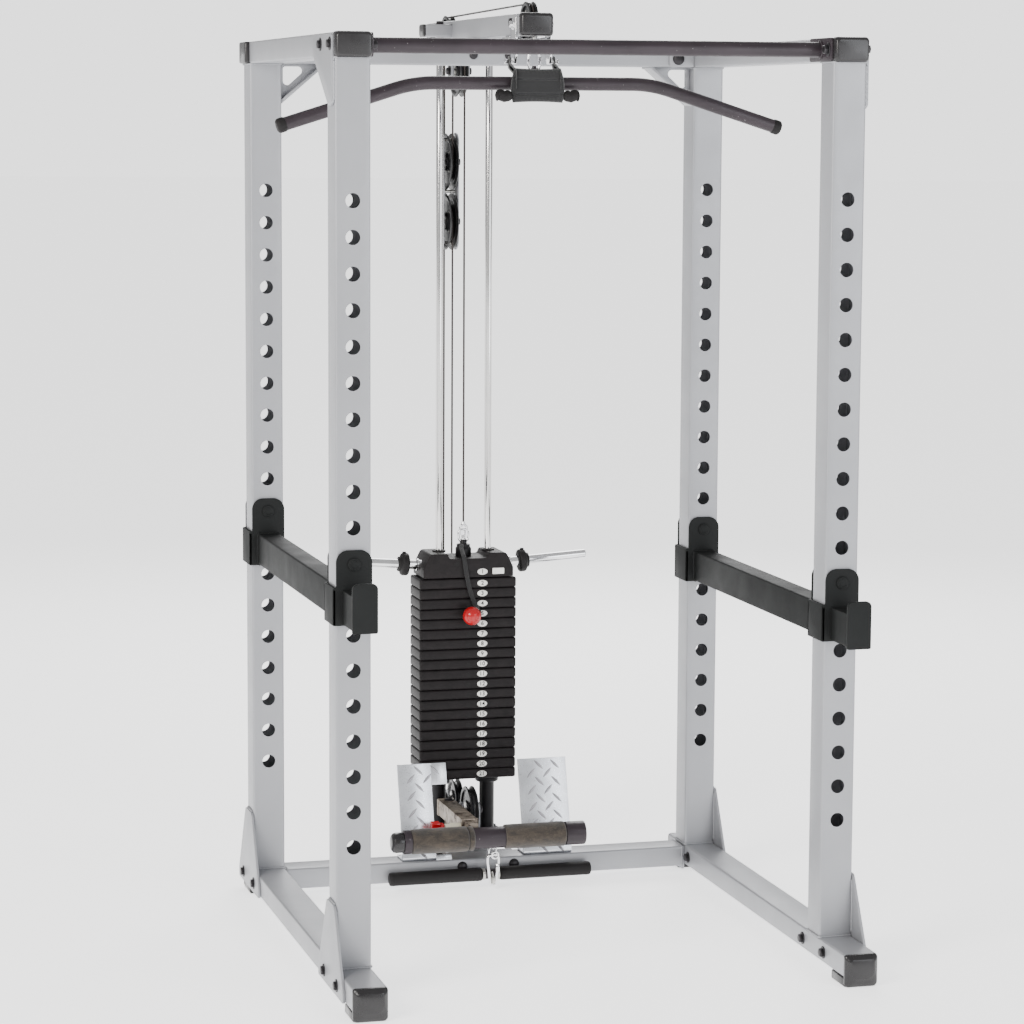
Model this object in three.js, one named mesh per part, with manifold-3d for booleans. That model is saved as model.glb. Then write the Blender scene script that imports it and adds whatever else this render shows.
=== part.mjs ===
// Power cage with a cable station behind it.
// Millimetres, +Z up, +X to the user's right, -Y towards the user.
// Inside the file Y = 0 is the front face of the front posts; the whole group is
// then moved so that the origin is the middle of the footprint on the floor.
import * as THREE from "three";
import { mergeVertices } from "three/addons/utils/BufferGeometryUtils.js";
import Module from "manifold-3d";

const wasm = await Module();
wasm.setup();

// ---------------------------------------------------------------- driving sizes
const GAP = 0.3;                 // between pieces that touch
const POST = 76.2;               // square post, side
const WALL = 3.2;                // tube wall
const SPAN_X = 1098;             // post centre to post centre, across
const SPAN_Y = 945;              // post centre to post centre, front to back
const HOLE_PITCH = 76.2;
const HOLE_D = 31.75;
const HOLE_LOW = 338;            // lowest hole above the floor
const HOLE_BARE = 290;           // least plain length of post above the holes
const PAD_T = 22;                // rubber under the base tubes
const PAD_L = 74;                // its length behind each end cap
const BASE_H = 50.8;             // height of the base tubes
const TOP_H = 50.8;              // height of the top tubes
const CAGE_H = 2057;             // top of the top tubes above the floor
const CROSS_H = 50.8;            // height of the cross tubes
const CROSS_LOW = 18;            // underside of the lower cross tube
const BASE_FRONT = 152;          // base tube ahead of the front posts
const BASE_REAR = 52;            // base tube behind the rear posts
const CAP_BULGE = 18;            // end caps stand out by this much
const CAP_EDGE = 4;
const SIDE_CAP = 9;              // caps of the rear roof tube, out from the side
const PLATE_T = 6;               // gussets and flanges
const GUSSET_H = 191;
const GUSSET_W = 250;
const GUSSET_LOW = PAD_T;
const CHIN_R = 16.5;
const CHIN_Y = 66;
const SAFE_HOLE_L = 8;           // holes above the lowest one, left arm
const SAFE_HOLE_R = 7;
const SAFE_PIN_R = 12;
const SAFE_CLEAR = 1.6;          // bracket to post
const SAFE_TUBE_W = 50.8;
const SAFE_TUBE_H = 74;
const HOOK_REACH = 106;
const BEAM_W = 76.2;
const BEAM_H = 50.8;
const SADDLE_T = 11;
const ROD_R = 9;
const ROD_X = 63;
const ROD_FIT = 0.6;
const POST_COLLAR_R = 29.5;
const POST_SLEEVE_R = 19;
const PLATE_W = 250;             // weight plates
const PLATE_D = 108;
const PLATE_H = 25;
const REST_PLATES = 16;
const LIFT_PLATES = 4;
const STACK_LOW = 225;
const TOP_PLATE_H = 61;
const TOP_NOTCH = 13;            // depth of the notch in the top plate
const STEM_R = 12;
const HORN_R = 12;
const HORN_REACH = 320;
const HORN_TILT = THREE.MathUtils.degToRad(4);
const CABLE_R = 2.5;
const SHEAVE_R = 48;             // small pulleys
const SHEAVE_BIG_R = 64;         // return pulley
const SHEAVE_LOW_R = 60;         // low front pulley
const SHEAVE_T = 22;
const GROOVE = 8;                // groove depth
const FLOAT_R = 72;              // deep rims of the two floating pulleys
const AXLE_R = 6;
const LOW_REAR_Z = 152;
const LOW_FRONT_Z = 150;
const LAT_BAR_R = 15.5;
const LAT_BAR_HALF = 596;
const ROW_BAR_R = 17;
const ROW_BAR_HALF = 258;
const ROW_BAR_Z = 33;
const ROLLER_Z = 132;
const ARM_Z = 152;
const ROLLER_R = 31;
const ROLLER_HALF = 229;
const FOAM_L_X = [-210, -68];    // ends of the foam sleeves
const FOAM_R_X = [25, 179];
const ARM_X = -52;
const ARM_W = 30;
const TREAD_W = 124;
const TREAD_IN = 92;
const TREAD_NOTCH = 39;          // width of the corner cut from the left one
const TREAD_NOTCH_TOP = 248;
const TREAD_H = 230;
const TREAD_LEAN = THREE.MathUtils.degToRad(16);

// ---------------------------------------------------------------- derived places
const px = SPAN_X / 2;                          // post centre line
const half = POST / 2;
const inner = px - half;
const outer = px + half;
const rearY = SPAN_Y;                           // front face of the rear posts
const baseTop = PAD_T + BASE_H;
const topLow = CAGE_H - TOP_H;
const beamLow = CAGE_H + SADDLE_T;
const beamTop = beamLow + BEAM_H;
const crossTop = CROSS_LOW + CROSS_H;
const baseY0 = -BASE_FRONT;
const baseY1 = rearY + POST + BASE_REAR;
const HOLE_COUNT = Math.floor((topLow - HOLE_BARE - HOLE_LOW) / HOLE_PITCH) + 1;
const PLATE_STEP = PLATE_H + 0.6;
const ROD_Y = rearY + 255;                      // guide rods and stack
const BEAM_REAR = ROD_Y + 240;
const FRONT_SHEAVE_Y = rearY - 335;
const FRONT_SHEAVE_Z = beamLow + 31;
const BEAM_FRONT = FRONT_SHEAVE_Y - SHEAVE_R - 5;
const REAR_SHEAVE_Z = beamLow + 21;
const RETURN_Z = beamLow - 71;
const FLOAT_TOP_Z = beamLow - 297;
const FLOAT_LOW_Z = FLOAT_TOP_Z - 2 * FLOAT_R - 6;
const LAT_BAR_Z = beamLow - 108;
const LOW_FRONT_Y = ROD_Y - 70;
const ROLLER_Y = rearY - 55;
const ROW_BAR_Y = rearY - 21;
const TAIL_Y = ROW_BAR_Y + 12;                  // where the low cable meets the bar's link
const cabY = (r) => r - GROOVE + CABLE_R + 0.5; // radius of the cable on a pulley
const cSmall = cabY(SHEAVE_R);
const cBig = cabY(SHEAVE_BIG_R);
const cLow = cabY(SHEAVE_LOW_R);
const RETURN_Y = ROD_Y + cBig;
const strandB = RETURN_Y + cBig;
const FLOAT_Y = strandB + cSmall;
const strandA = FLOAT_Y + cSmall;
const LOW_REAR_Y = strandB - cSmall;
const dropY = FRONT_SHEAVE_Y - cSmall;
const stackTop = STACK_LOW + (REST_PLATES + LIFT_PLATES) * PLATE_STEP + 2;
const liftLow = STACK_LOW + REST_PLATES * PLATE_STEP;
const pinZ = liftLow + PLATE_H / 2;
const holeZ = (k) => HOLE_LOW + k * HOLE_PITCH;
const STATION_REAR = BEAM_REAR + 5;
const yShift = -(baseY0 - GAP - CAP_BULGE + STATION_REAR) / 2;

// ---------------------------------------------------------------- materials
const paint = (color, roughness, metalness) =>
  new THREE.MeshStandardMaterial({ color, roughness, metalness });
const silver = paint(0xb4b6b8, 0.5, 0.35);
const black = paint(0x232220, 0.55, 0.1);
const barBrown = paint(0x3a3236, 0.5, 0.2);
const chrome = paint(0xd8d8da, 0.12, 1.0);
const rubber = paint(0x1f1e1d, 0.8, 0.0);
const iron = paint(0x26242a, 0.6, 0.3);
const red = paint(0xc9252b, 0.35, 0.0);
const foam = paint(0x3a3128, 0.95, 0.0);
const pulleyBlack = paint(0x1c1b1b, 0.4, 0.0);
const cableBlack = paint(0x2a2622, 0.5, 0.0);
const treadPlate = paint(0xdadde0, 0.3, 0.9);
const webbing = paint(0x17161a, 0.9, 0.0);

// ---------------------------------------------------------------- solids
function solid(geometry) {
  const g = geometry.clone();
  g.deleteAttribute("normal");
  g.deleteAttribute("uv");
  const m = mergeVertices(g, 1e-4);
  return new wasm.Manifold(new wasm.Mesh({
    numProp: 3,
    vertProperties: new Float32Array(m.attributes.position.array),
    triVerts: new Uint32Array(m.index.array),
  }));
}
function geometryOf(manifold) {
  const mesh = manifold.getMesh();
  const g = new THREE.BufferGeometry();
  g.setAttribute("position", new THREE.BufferAttribute(new Float32Array(mesh.vertProperties), 3));
  g.setIndex(new THREE.BufferAttribute(new Uint32Array(mesh.triVerts), 1));
  g.computeVertexNormals();
  return g;
}
const join = (list) => list.map(solid).reduce((a, b) => a.add(b));
const carve = (body, list) => list.reduce((a, g) => a.subtract(solid(g)), body);

const box = (x0, x1, y0, y1, z0, z1) =>
  new THREE.BoxGeometry(x1 - x0, y1 - y0, z1 - z0)
    .translate((x0 + x1) / 2, (y0 + y1) / 2, (z0 + z1) / 2);
// round bar along an axis; a and b are the two other coordinates in X, Y, Z order
function bar(axis, r, from, to, a, b, sides = 16) {
  const g = new THREE.CylinderGeometry(r, r, to - from, sides);
  const mid = (from + to) / 2;
  if (axis === "x") return g.rotateZ(-Math.PI / 2).translate(mid, a, b);
  if (axis === "y") return g.translate(a, mid, b);
  return g.rotateX(Math.PI / 2).translate(a, b, mid);
}
// a bar whose flats, not corners, lie on the radius: for cutting holes
const borer = (axis, r, from, to, a, b, sides = 8) =>
  bar(axis, r / Math.cos(Math.PI / sides), from, to, a, b, sides);
const toX = new THREE.Matrix4().set(0, 0, 1, 0, 1, 0, 0, 0, 0, 1, 0, 0, 0, 0, 0, 1);
const toY = new THREE.Matrix4().set(1, 0, 0, 0, 0, 0, -1, 0, 0, 1, 0, 0, 0, 0, 0, 1);
const shapeOf = (pts) => new THREE.Shape(pts.map(([u, v]) => new THREE.Vector2(u, v)));
const slab = (pts, depth) =>
  new THREE.ExtrudeGeometry(shapeOf(pts), { depth, bevelEnabled: false, steps: 1 });
const plateX = (pts, x0, x1) => slab(pts, x1 - x0).applyMatrix4(toX).translate(x0, 0, 0);
const plateY = (pts, y0, y1) => slab(pts, y1 - y0).applyMatrix4(toY).translate(0, y1, 0);
const plateZ = (pts, z0, z1) => slab(pts, z1 - z0).translate(0, 0, z0);
function arc(cx, cy, r, a0, a1, n) {
  const out = [];
  for (let i = 0; i <= n; i++) {
    const a = a0 + (a1 - a0) * i / n;
    out.push([cx + r * Math.cos(a), cy + r * Math.sin(a)]);
  }
  return out;
}
// ring: a closed profile of [radius, height along the axis] turned about X
function ringX(profile, x, y, z, sides) {
  const pts = [...profile, profile[0]].map(([r, h]) => new THREE.Vector2(r, h));
  return new THREE.LatheGeometry(pts, sides).rotateZ(-Math.PI / 2).translate(x, y, z);
}
function ringZ(profile, x, y, sides) {
  const pts = [...profile, profile[0]].map(([r, h]) => new THREE.Vector2(r, h));
  return new THREE.LatheGeometry(pts, sides).rotateX(Math.PI / 2).translate(x, y, 0);
}
// a route through points, kept exactly
class Route extends THREE.Curve {
  constructor(points) { super(); this.points = points.map((p) => new THREE.Vector3(...p)); }
  getPoint(t, target = new THREE.Vector3()) {
    const s = Math.min(Math.max(t, 0), 1) * (this.points.length - 1);
    const i = Math.min(Math.floor(s), this.points.length - 2);
    return target.copy(this.points[i]).lerp(this.points[i + 1], s - i);
  }
  getPointAt(u, target) { return this.getPoint(u, target); }
  getTangentAt(u, target) { return this.getTangent(u, target); }
  getSpacedPoints(n) { return this.getPoints(n); }
}
function wire(points, r, sides = 6) {
  const path = new Route(points);
  const section = arc(0, 0, r, 0, 2 * Math.PI * (1 - 1 / sides), sides - 1);
  return new THREE.ExtrudeGeometry(shapeOf(section),
    { steps: points.length - 1, extrudePath: path, bevelEnabled: false });
}
// points on an arc in the plane X = x about (cy, cz), angles measured from +Y to +Z
const arcYZ = (x, cy, cz, r, d0, d1, n) =>
  arc(cy, cz, r, d0 * Math.PI / 180, d1 * Math.PI / 180, n).map(([y, z]) => [x, y, z]);

// ---------------------------------------------------------------- scene helpers
const frame = new THREE.Group();
frame.position.set(0, yShift, 0);
function put(name, shape, material) {
  const geometry = shape.isBufferGeometry ? shape : geometryOf(shape);
  const mesh = new THREE.Mesh(geometry, material);
  mesh.name = name;
  frame.add(mesh);
  return mesh;
}
const tubeY = (x0, x1, y0, y1, z0, z1) =>
  carve(solid(box(x0, x1, y0, y1, z0, z1)),
    [box(x0 + WALL, x1 - WALL, y0 - 5, y1 + 5, z0 + WALL, z1 - WALL)]);

// ---------------------------------------------------------------- cage frame
const posts = [["fl", -1, 0], ["fr", 1, 0], ["rl", -1, rearY], ["rr", 1, rearY]];
for (const [tag, side, y0] of posts) {
  const cx = side * px, z0 = baseTop + GAP, z1 = topLow - GAP;
  const cy = y0 + half;
  const skin = (a, b) => (side > 0 ? [a, b] : [-b, -a]);
  let body = solid(box(cx - half, cx + half, y0, y0 + POST, z0, z1));
  body = carve(body, [box(cx - half + WALL, cx + half - WALL, y0 + WALL, y0 + POST - WALL,
    z0 - 5, z1 + 5)]);
  for (let k = 0; k < HOLE_COUNT; k++) {
    body = carve(body, [borer("y", HOLE_D / 2, y0 - 5, y0 + POST + 5, cx, holeZ(k), 6)]);
  }
  const [g0, g1] = skin(outer + GAP, outer + GAP + PLATE_T);
  const [w0, w1] = skin(outer - 1, outer + GAP + 1);
  const gussetTop = GUSSET_LOW + GUSSET_H;
  const gusset = plateX([[cy - GUSSET_W / 2, GUSSET_LOW], [cy + GUSSET_W / 2, GUSSET_LOW],
    [cy + GUSSET_W / 2, GUSSET_LOW + 22], [cy + half, gussetTop], [cy - half, gussetTop],
    [cy - GUSSET_W / 2, GUSSET_LOW + 22]], g0, g1);
  const weld = box(w0, w1, y0 + 4, y0 + POST - 4, z0 + 4, gussetTop - 4);
  body = body.add(solid(gusset)).add(solid(weld));
  if (y0 === 0) {
    const low = CAGE_H - 152, back = 194;
    const brace = plateX([[3, low], [half, low], [back, topLow], [back, CAGE_H - 4],
      [3, CAGE_H - 4]], g0, g1);
    body = body.add(solid(brace)).add(solid(box(w0, w1, 6, POST - 4, low + 3, z1 - 3)));
  }
  put("upright_" + tag, body, silver);
}
for (const [tag, side] of [["left", -1], ["right", 1]]) {
  const cx = side * px;
  put("base_tube_" + tag, tubeY(cx - half, cx + half, baseY0, baseY1, PAD_T, baseTop), silver);
  const [c0, c1] = side > 0 ? [outer - 1, outer + SIDE_CAP] : [-outer - SIDE_CAP, 1 - outer];
  put("top_tube_" + tag, tubeY(cx - half, cx + half, 0, rearY + POST, topLow, CAGE_H)
    .add(solid(box(c0, c1, rearY, rearY + POST, topLow, CAGE_H))), silver);
}
function capOutline(cx, y, dir) {
  const w = half, n = 8, pts = [[cx - w, y], [cx - w, y + dir * CAP_EDGE]];
  for (let i = 1; i < n; i++) {
    const u = -1 + 2 * i / n;
    pts.push([cx + u * w, y + dir * (CAP_EDGE + (CAP_BULGE - CAP_EDGE) * (1 - u * u))]);
  }
  pts.push([cx + w, y + dir * CAP_EDGE], [cx + w, y]);
  return dir < 0 ? pts : pts.reverse();
}
for (const [tag, side, y, dir] of [["fl", -1, baseY0, -1], ["fr", 1, baseY0, -1],
  ["rl", -1, baseY1, 1], ["rr", 1, baseY1, 1]]) {
  const cx = side * px, yc = y + dir * GAP;
  const cap = plateZ(capOutline(cx, yc, dir), 0, baseTop);
  const reach = -dir * PAD_L;
  const pad = box(cx - half, cx + half, Math.min(y, y + reach) + (dir < 0 ? -1 : 0),
    Math.max(y, y + reach) + (dir > 0 ? 1 : 0), 0, PAD_T - GAP);
  put("foot_" + tag, join([cap, pad]), rubber);
}

// cross tubes between the two sides
function crossTube(z0, h, braces) {
  const y0 = rearY, y1 = rearY + POST, e = inner - GAP;
  let body = solid(box(-e + PLATE_T - 1, e - PLATE_T + 1, y0, y1, z0, z0 + h));
  body = carve(body, [box(-e - 5, e + 5, y0 + WALL, y1 - WALL, z0 + WALL, z0 + h - WALL)]);
  for (const s of [-1, 1]) {
    const [a, b] = s < 0 ? [-e, -e + PLATE_T] : [e - PLATE_T, e];
    const low = braces ? z0 : z0 - 8;
    body = body.add(solid(box(a, b, y0, y1, low, z0 + h)));
    body = carve(body, [box(Math.min(a, b) - 1, Math.max(a, b) + 1, y0 + 20, y1 - 20,
      z0 + 16, z0 + h - 16)]);
    if (braces) {
      const out = s * e, drop = 92, run = 108, t = 6;
      const web = [[out, z0 + 1], [out - s * run, z0 + 1], [out, z0 - drop]];
      const hole = arc(out - s * 12, z0 - 10, 58, s > 0 ? Math.PI : 0,
        s > 0 ? 1.5 * Math.PI : -0.5 * Math.PI, 6);
      const rim = [[out - s * run, z0 + 1], [out, z0 - drop], [out, z0 - drop + 9],
        [out - s * (run - 10.5), z0 + 1]];
      let piece = solid(plateY(s > 0 ? web : web.slice().reverse(), y0 + 30, y0 + 30 + t));
      piece = carve(piece, [plateY(s > 0 ? hole : hole.slice().reverse(), y0, y1)]);
      piece = piece.add(solid(plateY(s > 0 ? rim.slice().reverse() : rim, y0 + 6, y1 - 6)));
      body = body.add(piece);
    }
  }
  return body;
}
put("crossmember_top", crossTube(topLow, TOP_H, true), silver);
const lowerCross = crossTube(CROSS_LOW, CROSS_H, false);
put("crossmember_bottom", lowerCross, silver);

// chin-up bar on two bolted flanges
{
  const e = inner - GAP, z = (topLow + CAGE_H) / 2;
  const flange = (s) => box(Math.min(s * e, s * (e - PLATE_T)), Math.max(s * e, s * (e - PLATE_T)),
    CHIN_Y - 66, CHIN_Y + 66, topLow, CAGE_H);
  put("chin_up_bar", join([bar("x", CHIN_R, -e + 2, e - 2, CHIN_Y, z, 20), flange(-1), flange(1)]),
    barBrown);
}

// ---------------------------------------------------------------- safety arms
function safetyArm(cx, pz) {
  const t = PLATE_T, c = SAFE_CLEAR, low = pz - 130, tubeTop = pz - 54;
  const left = cx - half - c - t, right = cx + half + 1;
  const face = [[left, low], [right, low], ...arc(right - 26, pz + 4, 26, 0, Math.PI / 2, 4),
    ...arc(cx - half - 1 + 26, pz + 4, 26, Math.PI / 2, Math.PI, 4),
    [cx - half - 1, tubeTop + 6], [left, tubeTop + 6]];
  const parts = [];
  for (const y0 of [0, rearY]) {
    parts.push(plateY(face, y0 - c - t, y0 - c));
    parts.push(plateY(face, y0 + POST + c, y0 + POST + c + t));
    parts.push(box(left, left + t, y0 - c - t, y0 + POST + c + t, low, tubeTop + 6));
    parts.push(bar("y", SAFE_PIN_R, y0 - c - t - 5, y0 + POST + c + t + 4, cx, pz, 12));
  }
  const w = SAFE_TUBE_W / 2, y0 = POST + c + t - 2, y1 = rearY - c - t + 2;
  let body = join(parts);
  const tube = carve(solid(box(cx - w, cx + w, y0, y1, tubeTop - SAFE_TUBE_H, tubeTop)), [
    box(cx - w + 4, cx + w - 4, y0 + 4, y1 - 4, tubeTop - SAFE_TUBE_H + 4, tubeTop - 4),
    box(cx - 10, cx + 10, y0 + 30, y0 + 60, tubeTop - SAFE_TUBE_H - 2, tubeTop - SAFE_TUBE_H + 6)]);
  const hook = carve(solid(box(cx - w, cx + w, -c - t - HOOK_REACH + 8, -c - 2, low, tubeTop)), [
    box(cx - w + 4, cx + w - 4, -c - t - HOOK_REACH + 12, -c - t - 4, low - 2, tubeTop - 4)]);
  const lip = box(cx - w - 2, cx + w + 2, -c - t - HOOK_REACH, -c - t - HOOK_REACH + 9,
    low - 2, pz - 27);
  body = body.add(tube).add(hook).add(solid(lip));
  return body;
}
put("safety_left", safetyArm(-px, holeZ(SAFE_HOLE_L)), black);
put("safety_right", safetyArm(px, holeZ(SAFE_HOLE_R)), black);

// ---------------------------------------------------------------- upper beam
{
  const w = BEAM_W / 2;
  let beam = tubeY(-w, w, BEAM_FRONT, BEAM_REAR, beamLow, beamTop);
  const slot = (y, r, z0, z1) => box(-SHEAVE_T / 2 - 4, SHEAVE_T / 2 + 4, y - r, y + r, z0, z1);
  beam = carve(beam, [
    slot(FRONT_SHEAVE_Y, SHEAVE_R + 3, beamLow - 5, beamTop + 5),
    slot(FLOAT_Y, SHEAVE_R + 3, beamLow - 5, beamTop + 5),
    slot(RETURN_Y, SHEAVE_BIG_R + 3, beamLow - 5, beamLow + 8),
  ]);
  const parts = [
    bar("x", AXLE_R, -w + 1, w - 1, FRONT_SHEAVE_Y, FRONT_SHEAVE_Z),
    bar("x", AXLE_R, -w + 1, w - 1, FLOAT_Y, REAR_SHEAVE_Z),
    box(-60, 60, rearY, rearY + POST + 8, CAGE_H + GAP, beamLow + 1),
    box(-60, 60, rearY + POST + GAP + 1.7, rearY + POST + 8, topLow + 6, beamLow),
  ];
  for (const s of [-1, 1]) {
    const [a, b] = s < 0 ? [-23, -18] : [18, 23];
    parts.push(box(a, b, RETURN_Y - 26, RETURN_Y + 26, RETURN_Z - 22, beamLow + 1));
    const [c, d] = s < 0 ? [-106, -w + 1] : [w - 1, 106];
    parts.push(box(c, d, ROD_Y - 25, ROD_Y + 25, beamLow + 11, beamLow + 41));
  }
  parts.push(bar("x", AXLE_R, -22, 22, RETURN_Y, RETURN_Z));
  beam = beam.add(join(parts.slice(0, 3))).add(solid(parts[3]));
  for (const p of parts.slice(4)) beam = beam.add(solid(p));
  for (const s of [-1, 1]) {
    beam = carve(beam, [borer("z", ROD_R + ROD_FIT, beamLow, beamLow + 38, s * ROD_X, ROD_Y, 12)]);
  }
  put("lat_beam", beam, silver);
  const cap = plateZ(capOutline(0, BEAM_FRONT - GAP, -1).map(([x, y]) => [x, y]), beamLow, beamTop);
  put("lat_beam_cap", cap, rubber);

  // chrome hanger for the padded strap: two legs joined under the beam
  const g = w + GAP, hy0 = FRONT_SHEAVE_Y - 40, hy1 = FRONT_SHEAVE_Y + 4;
  const back = FRONT_SHEAVE_Y + SHEAVE_R + 8;
  const legs = [];
  for (const s of [-1, 1]) {
    const [a, b] = s < 0 ? [-g - 5, -g] : [g, g + 5];
    legs.push(box(a, b, hy0, hy1, beamLow - 46, beamTop));
    legs.push(box(a, b, hy0 + 10, hy0 + 30, beamLow - 64, beamLow - 40));
    legs.push(box(a, b, hy1 - 4, back + 22, beamLow - 8, beamLow - 1));
    legs.push(bar("x", 4, s < 0 ? -g - 24 : g + 3, s < 0 ? -g - 3 : g + 24, hy0 + 20,
      beamLow - 58, 10));
  }
  legs.push(box(-g - 4, g + 4, back, back + 22, beamLow - 8, beamLow - 1));
  put("strap_hanger", join(legs), chrome);
}

// ---------------------------------------------------------------- rods and sleeves
for (const [tag, s] of [["left", -1], ["right", 1]]) {
  const low = crossTop + 10 + GAP;
  put("guide_rod_" + tag, bar("z", ROD_R, low + GAP, beamLow + 37, s * ROD_X, ROD_Y, 12), chrome);
  const r0 = ROD_R + ROD_FIT + 0.5, top = STACK_LOW - GAP;
  put("rod_sleeve_" + tag, ringZ([[r0, low], [POST_SLEEVE_R, low], [POST_SLEEVE_R, top - 16],
    [POST_COLLAR_R, top - 16], [POST_COLLAR_R, top], [r0, top]], s * ROD_X, ROD_Y, 16), black);
}

// ---------------------------------------------------------------- base of the station
{
  const w = BEAM_W / 2, y0 = rearY + POST + GAP, y1 = STATION_REAR;
  let base = solid(box(-w, w, y0, y1, CROSS_LOW, crossTop));
  base = carve(base, [box(-w + WALL, w - WALL, y0 + 8, y1 + 5, CROSS_LOW + WALL, crossTop - WALL)]);
  const add = (g) => { base = base.add(solid(g)); };
  add(box(-86, 86, y0, y0 + 8, CROSS_LOW, crossTop));
  add(box(-70, 70, y1 - 46, y1 - 4, 0, CROSS_LOW + 1));
  add(box(-104, 104, ROD_Y - 50, ROD_Y + 50, crossTop - 1, crossTop + 10));
  for (const s of [-1, 1]) {
    const [a, b] = s < 0 ? [-23, -18] : [18, 23];
    add(box(a, b, LOW_REAR_Y - 18, LOW_REAR_Y + 18, crossTop - 1, LOW_REAR_Z + 20));
    add(box(a, b, LOW_FRONT_Y - 20, LOW_FRONT_Y + 20, crossTop - 1, LOW_FRONT_Z + 20));
  }
  add(bar("x", AXLE_R, -22, 22, LOW_REAR_Y, LOW_REAR_Z));
  add(bar("x", AXLE_R, -22, 22, LOW_FRONT_Y, LOW_FRONT_Z));
  add(box(-9, 9, strandA - 9, strandA + 9, crossTop - 1, crossTop + 30));
  // socket for the hold-down arm on its bracket, with the pin barrel
  const sw = ARM_W / 2 + 5, sy0 = ROLLER_Y + 34, sy1 = ROD_Y - POST_SLEEVE_R - 4;
  const pinY = sy0 + 12;
  let socket = solid(box(ARM_X - sw, ARM_X + sw, sy0, sy1, ARM_Z - sw, ARM_Z + sw));
  socket = socket.add(solid(box(ARM_X - 3, ARM_X + 16, sy1 - 76, sy1 - 6, crossTop - 20,
    ARM_Z - sw + 1)));
  socket = socket.add(solid(box(-w - 3, ARM_X + 16, sy1 - 76, sy1 - 6, crossTop - 24, crossTop - 6)));
  socket = socket.add(solid(bar("x", 11, ARM_X - sw - 42, ARM_X - sw + 2, pinY, ARM_Z, 12)));
  socket = socket.add(solid(box(ARM_X + 10, -w + 2, sy1 - 76, sy1 - 6, crossTop - 24,
    crossTop - 6)));
  base = base.add(socket);
  const inside = ARM_W / 2 + 0.8;
  base = carve(base, [
    box(ARM_X - inside, ARM_X + inside, sy0 - 5, sy1 + 5, ARM_Z - inside, ARM_Z + inside),
    borer("x", 5.6, ARM_X - sw - 60, ARM_X - inside + 1, pinY, ARM_Z, 10)]);
  put("lat_base", base, silver);
  put("pop_pin", join([
    bar("x", 5, ARM_X - sw - 44, ARM_X - inside - 0.5, pinY, ARM_Z, 10),
    bar("x", 19, ARM_X - sw - 76, ARM_X - sw - 43, pinY, ARM_Z, 12)]), red);

  // hold-down arm: square tube, then the round tube the foam sleeves turn on
  const aw = ARM_W / 2;
  let arm = solid(box(ARM_X - aw, ARM_X + aw, ROLLER_Y + 10, sy1 - 8, ARM_Z - aw, ARM_Z + aw));
  arm = carve(arm, [box(ARM_X - aw + WALL, ARM_X + aw - WALL, ROLLER_Y + 40, sy1,
    ARM_Z - aw + WALL, ARM_Z + aw - WALL)]);
  const ring = (r, a, b) => solid(bar("x", r, a, b, ROLLER_Y, ROLLER_Z, 16));
  arm = arm.add(ring(ROLLER_R - 6, -ROLLER_HALF - 31, ROLLER_HALF));
  arm = arm.add(ring(ROLLER_R - 5, ARM_X - aw, FOAM_R_X[0] - 1));
  arm = arm.add(ring(ROLLER_R - 2, -ROLLER_HALF, FOAM_L_X[0] - 1));
  arm = arm.add(ring(ROLLER_R - 2, FOAM_R_X[1] + 1, ROLLER_HALF));
  put("hold_down_arm", arm, barBrown);
  const r0 = (ROLLER_R - 6 + 0.8) / Math.cos(Math.PI / 16);
  const sleeve = (a, b) => ringX([[r0, a], [ROLLER_R, a], [ROLLER_R, b], [r0, b]],
    0, ROLLER_Y, ROLLER_Z, 16);
  put("foam_left", sleeve(...FOAM_L_X), foam);
  put("foam_right", sleeve(...FOAM_R_X), foam);
}

// ---------------------------------------------------------------- pulleys
function sheave(name, y, z, r, rim = r, material = pulleyBlack) {
  const g = r - GROOVE, t = SHEAVE_T / 2;
  put(name, ringX([[AXLE_R + 0.4, -t], [rim, -t], [rim, -t + 3], [g, -3.6], [g, 3.6], [rim, t - 3],
    [rim, t], [AXLE_R + 0.4, t]], 0, y, z, 16), material);
}
sheave("pulley_front_top", FRONT_SHEAVE_Y, FRONT_SHEAVE_Z, SHEAVE_R);
sheave("pulley_rear_top", FLOAT_Y, REAR_SHEAVE_Z, SHEAVE_R);
sheave("pulley_return", RETURN_Y, RETURN_Z, SHEAVE_BIG_R);
sheave("pulley_float_upper", FLOAT_Y, FLOAT_TOP_Z, SHEAVE_R, FLOAT_R);
sheave("pulley_float_lower", FLOAT_Y, FLOAT_LOW_Z, SHEAVE_R, FLOAT_R);
sheave("pulley_low_rear", LOW_REAR_Y, LOW_REAR_Z, SHEAVE_R);
sheave("pulley_low_front", LOW_FRONT_Y, LOW_FRONT_Z, SHEAVE_LOW_R);
{
  const sides = [-1, 1].map((s) => {
    const [a, b] = s < 0 ? [-21, -17] : [17, 21];
    const r = 30, top = FLOAT_TOP_Z + 44, low = FLOAT_LOW_Z - 42;
    return plateX([...arc(FLOAT_Y, top, r, 0, Math.PI, 6), ...arc(FLOAT_Y, low, r, Math.PI,
      2 * Math.PI, 6)], a, b);
  });
  put("float_block", join([sides[0], bar("x", AXLE_R, -20, 20, FLOAT_Y, FLOAT_TOP_Z),
    bar("x", AXLE_R, -20, 20, FLOAT_Y, FLOAT_LOW_Z), sides[1]]), silver);
}

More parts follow.
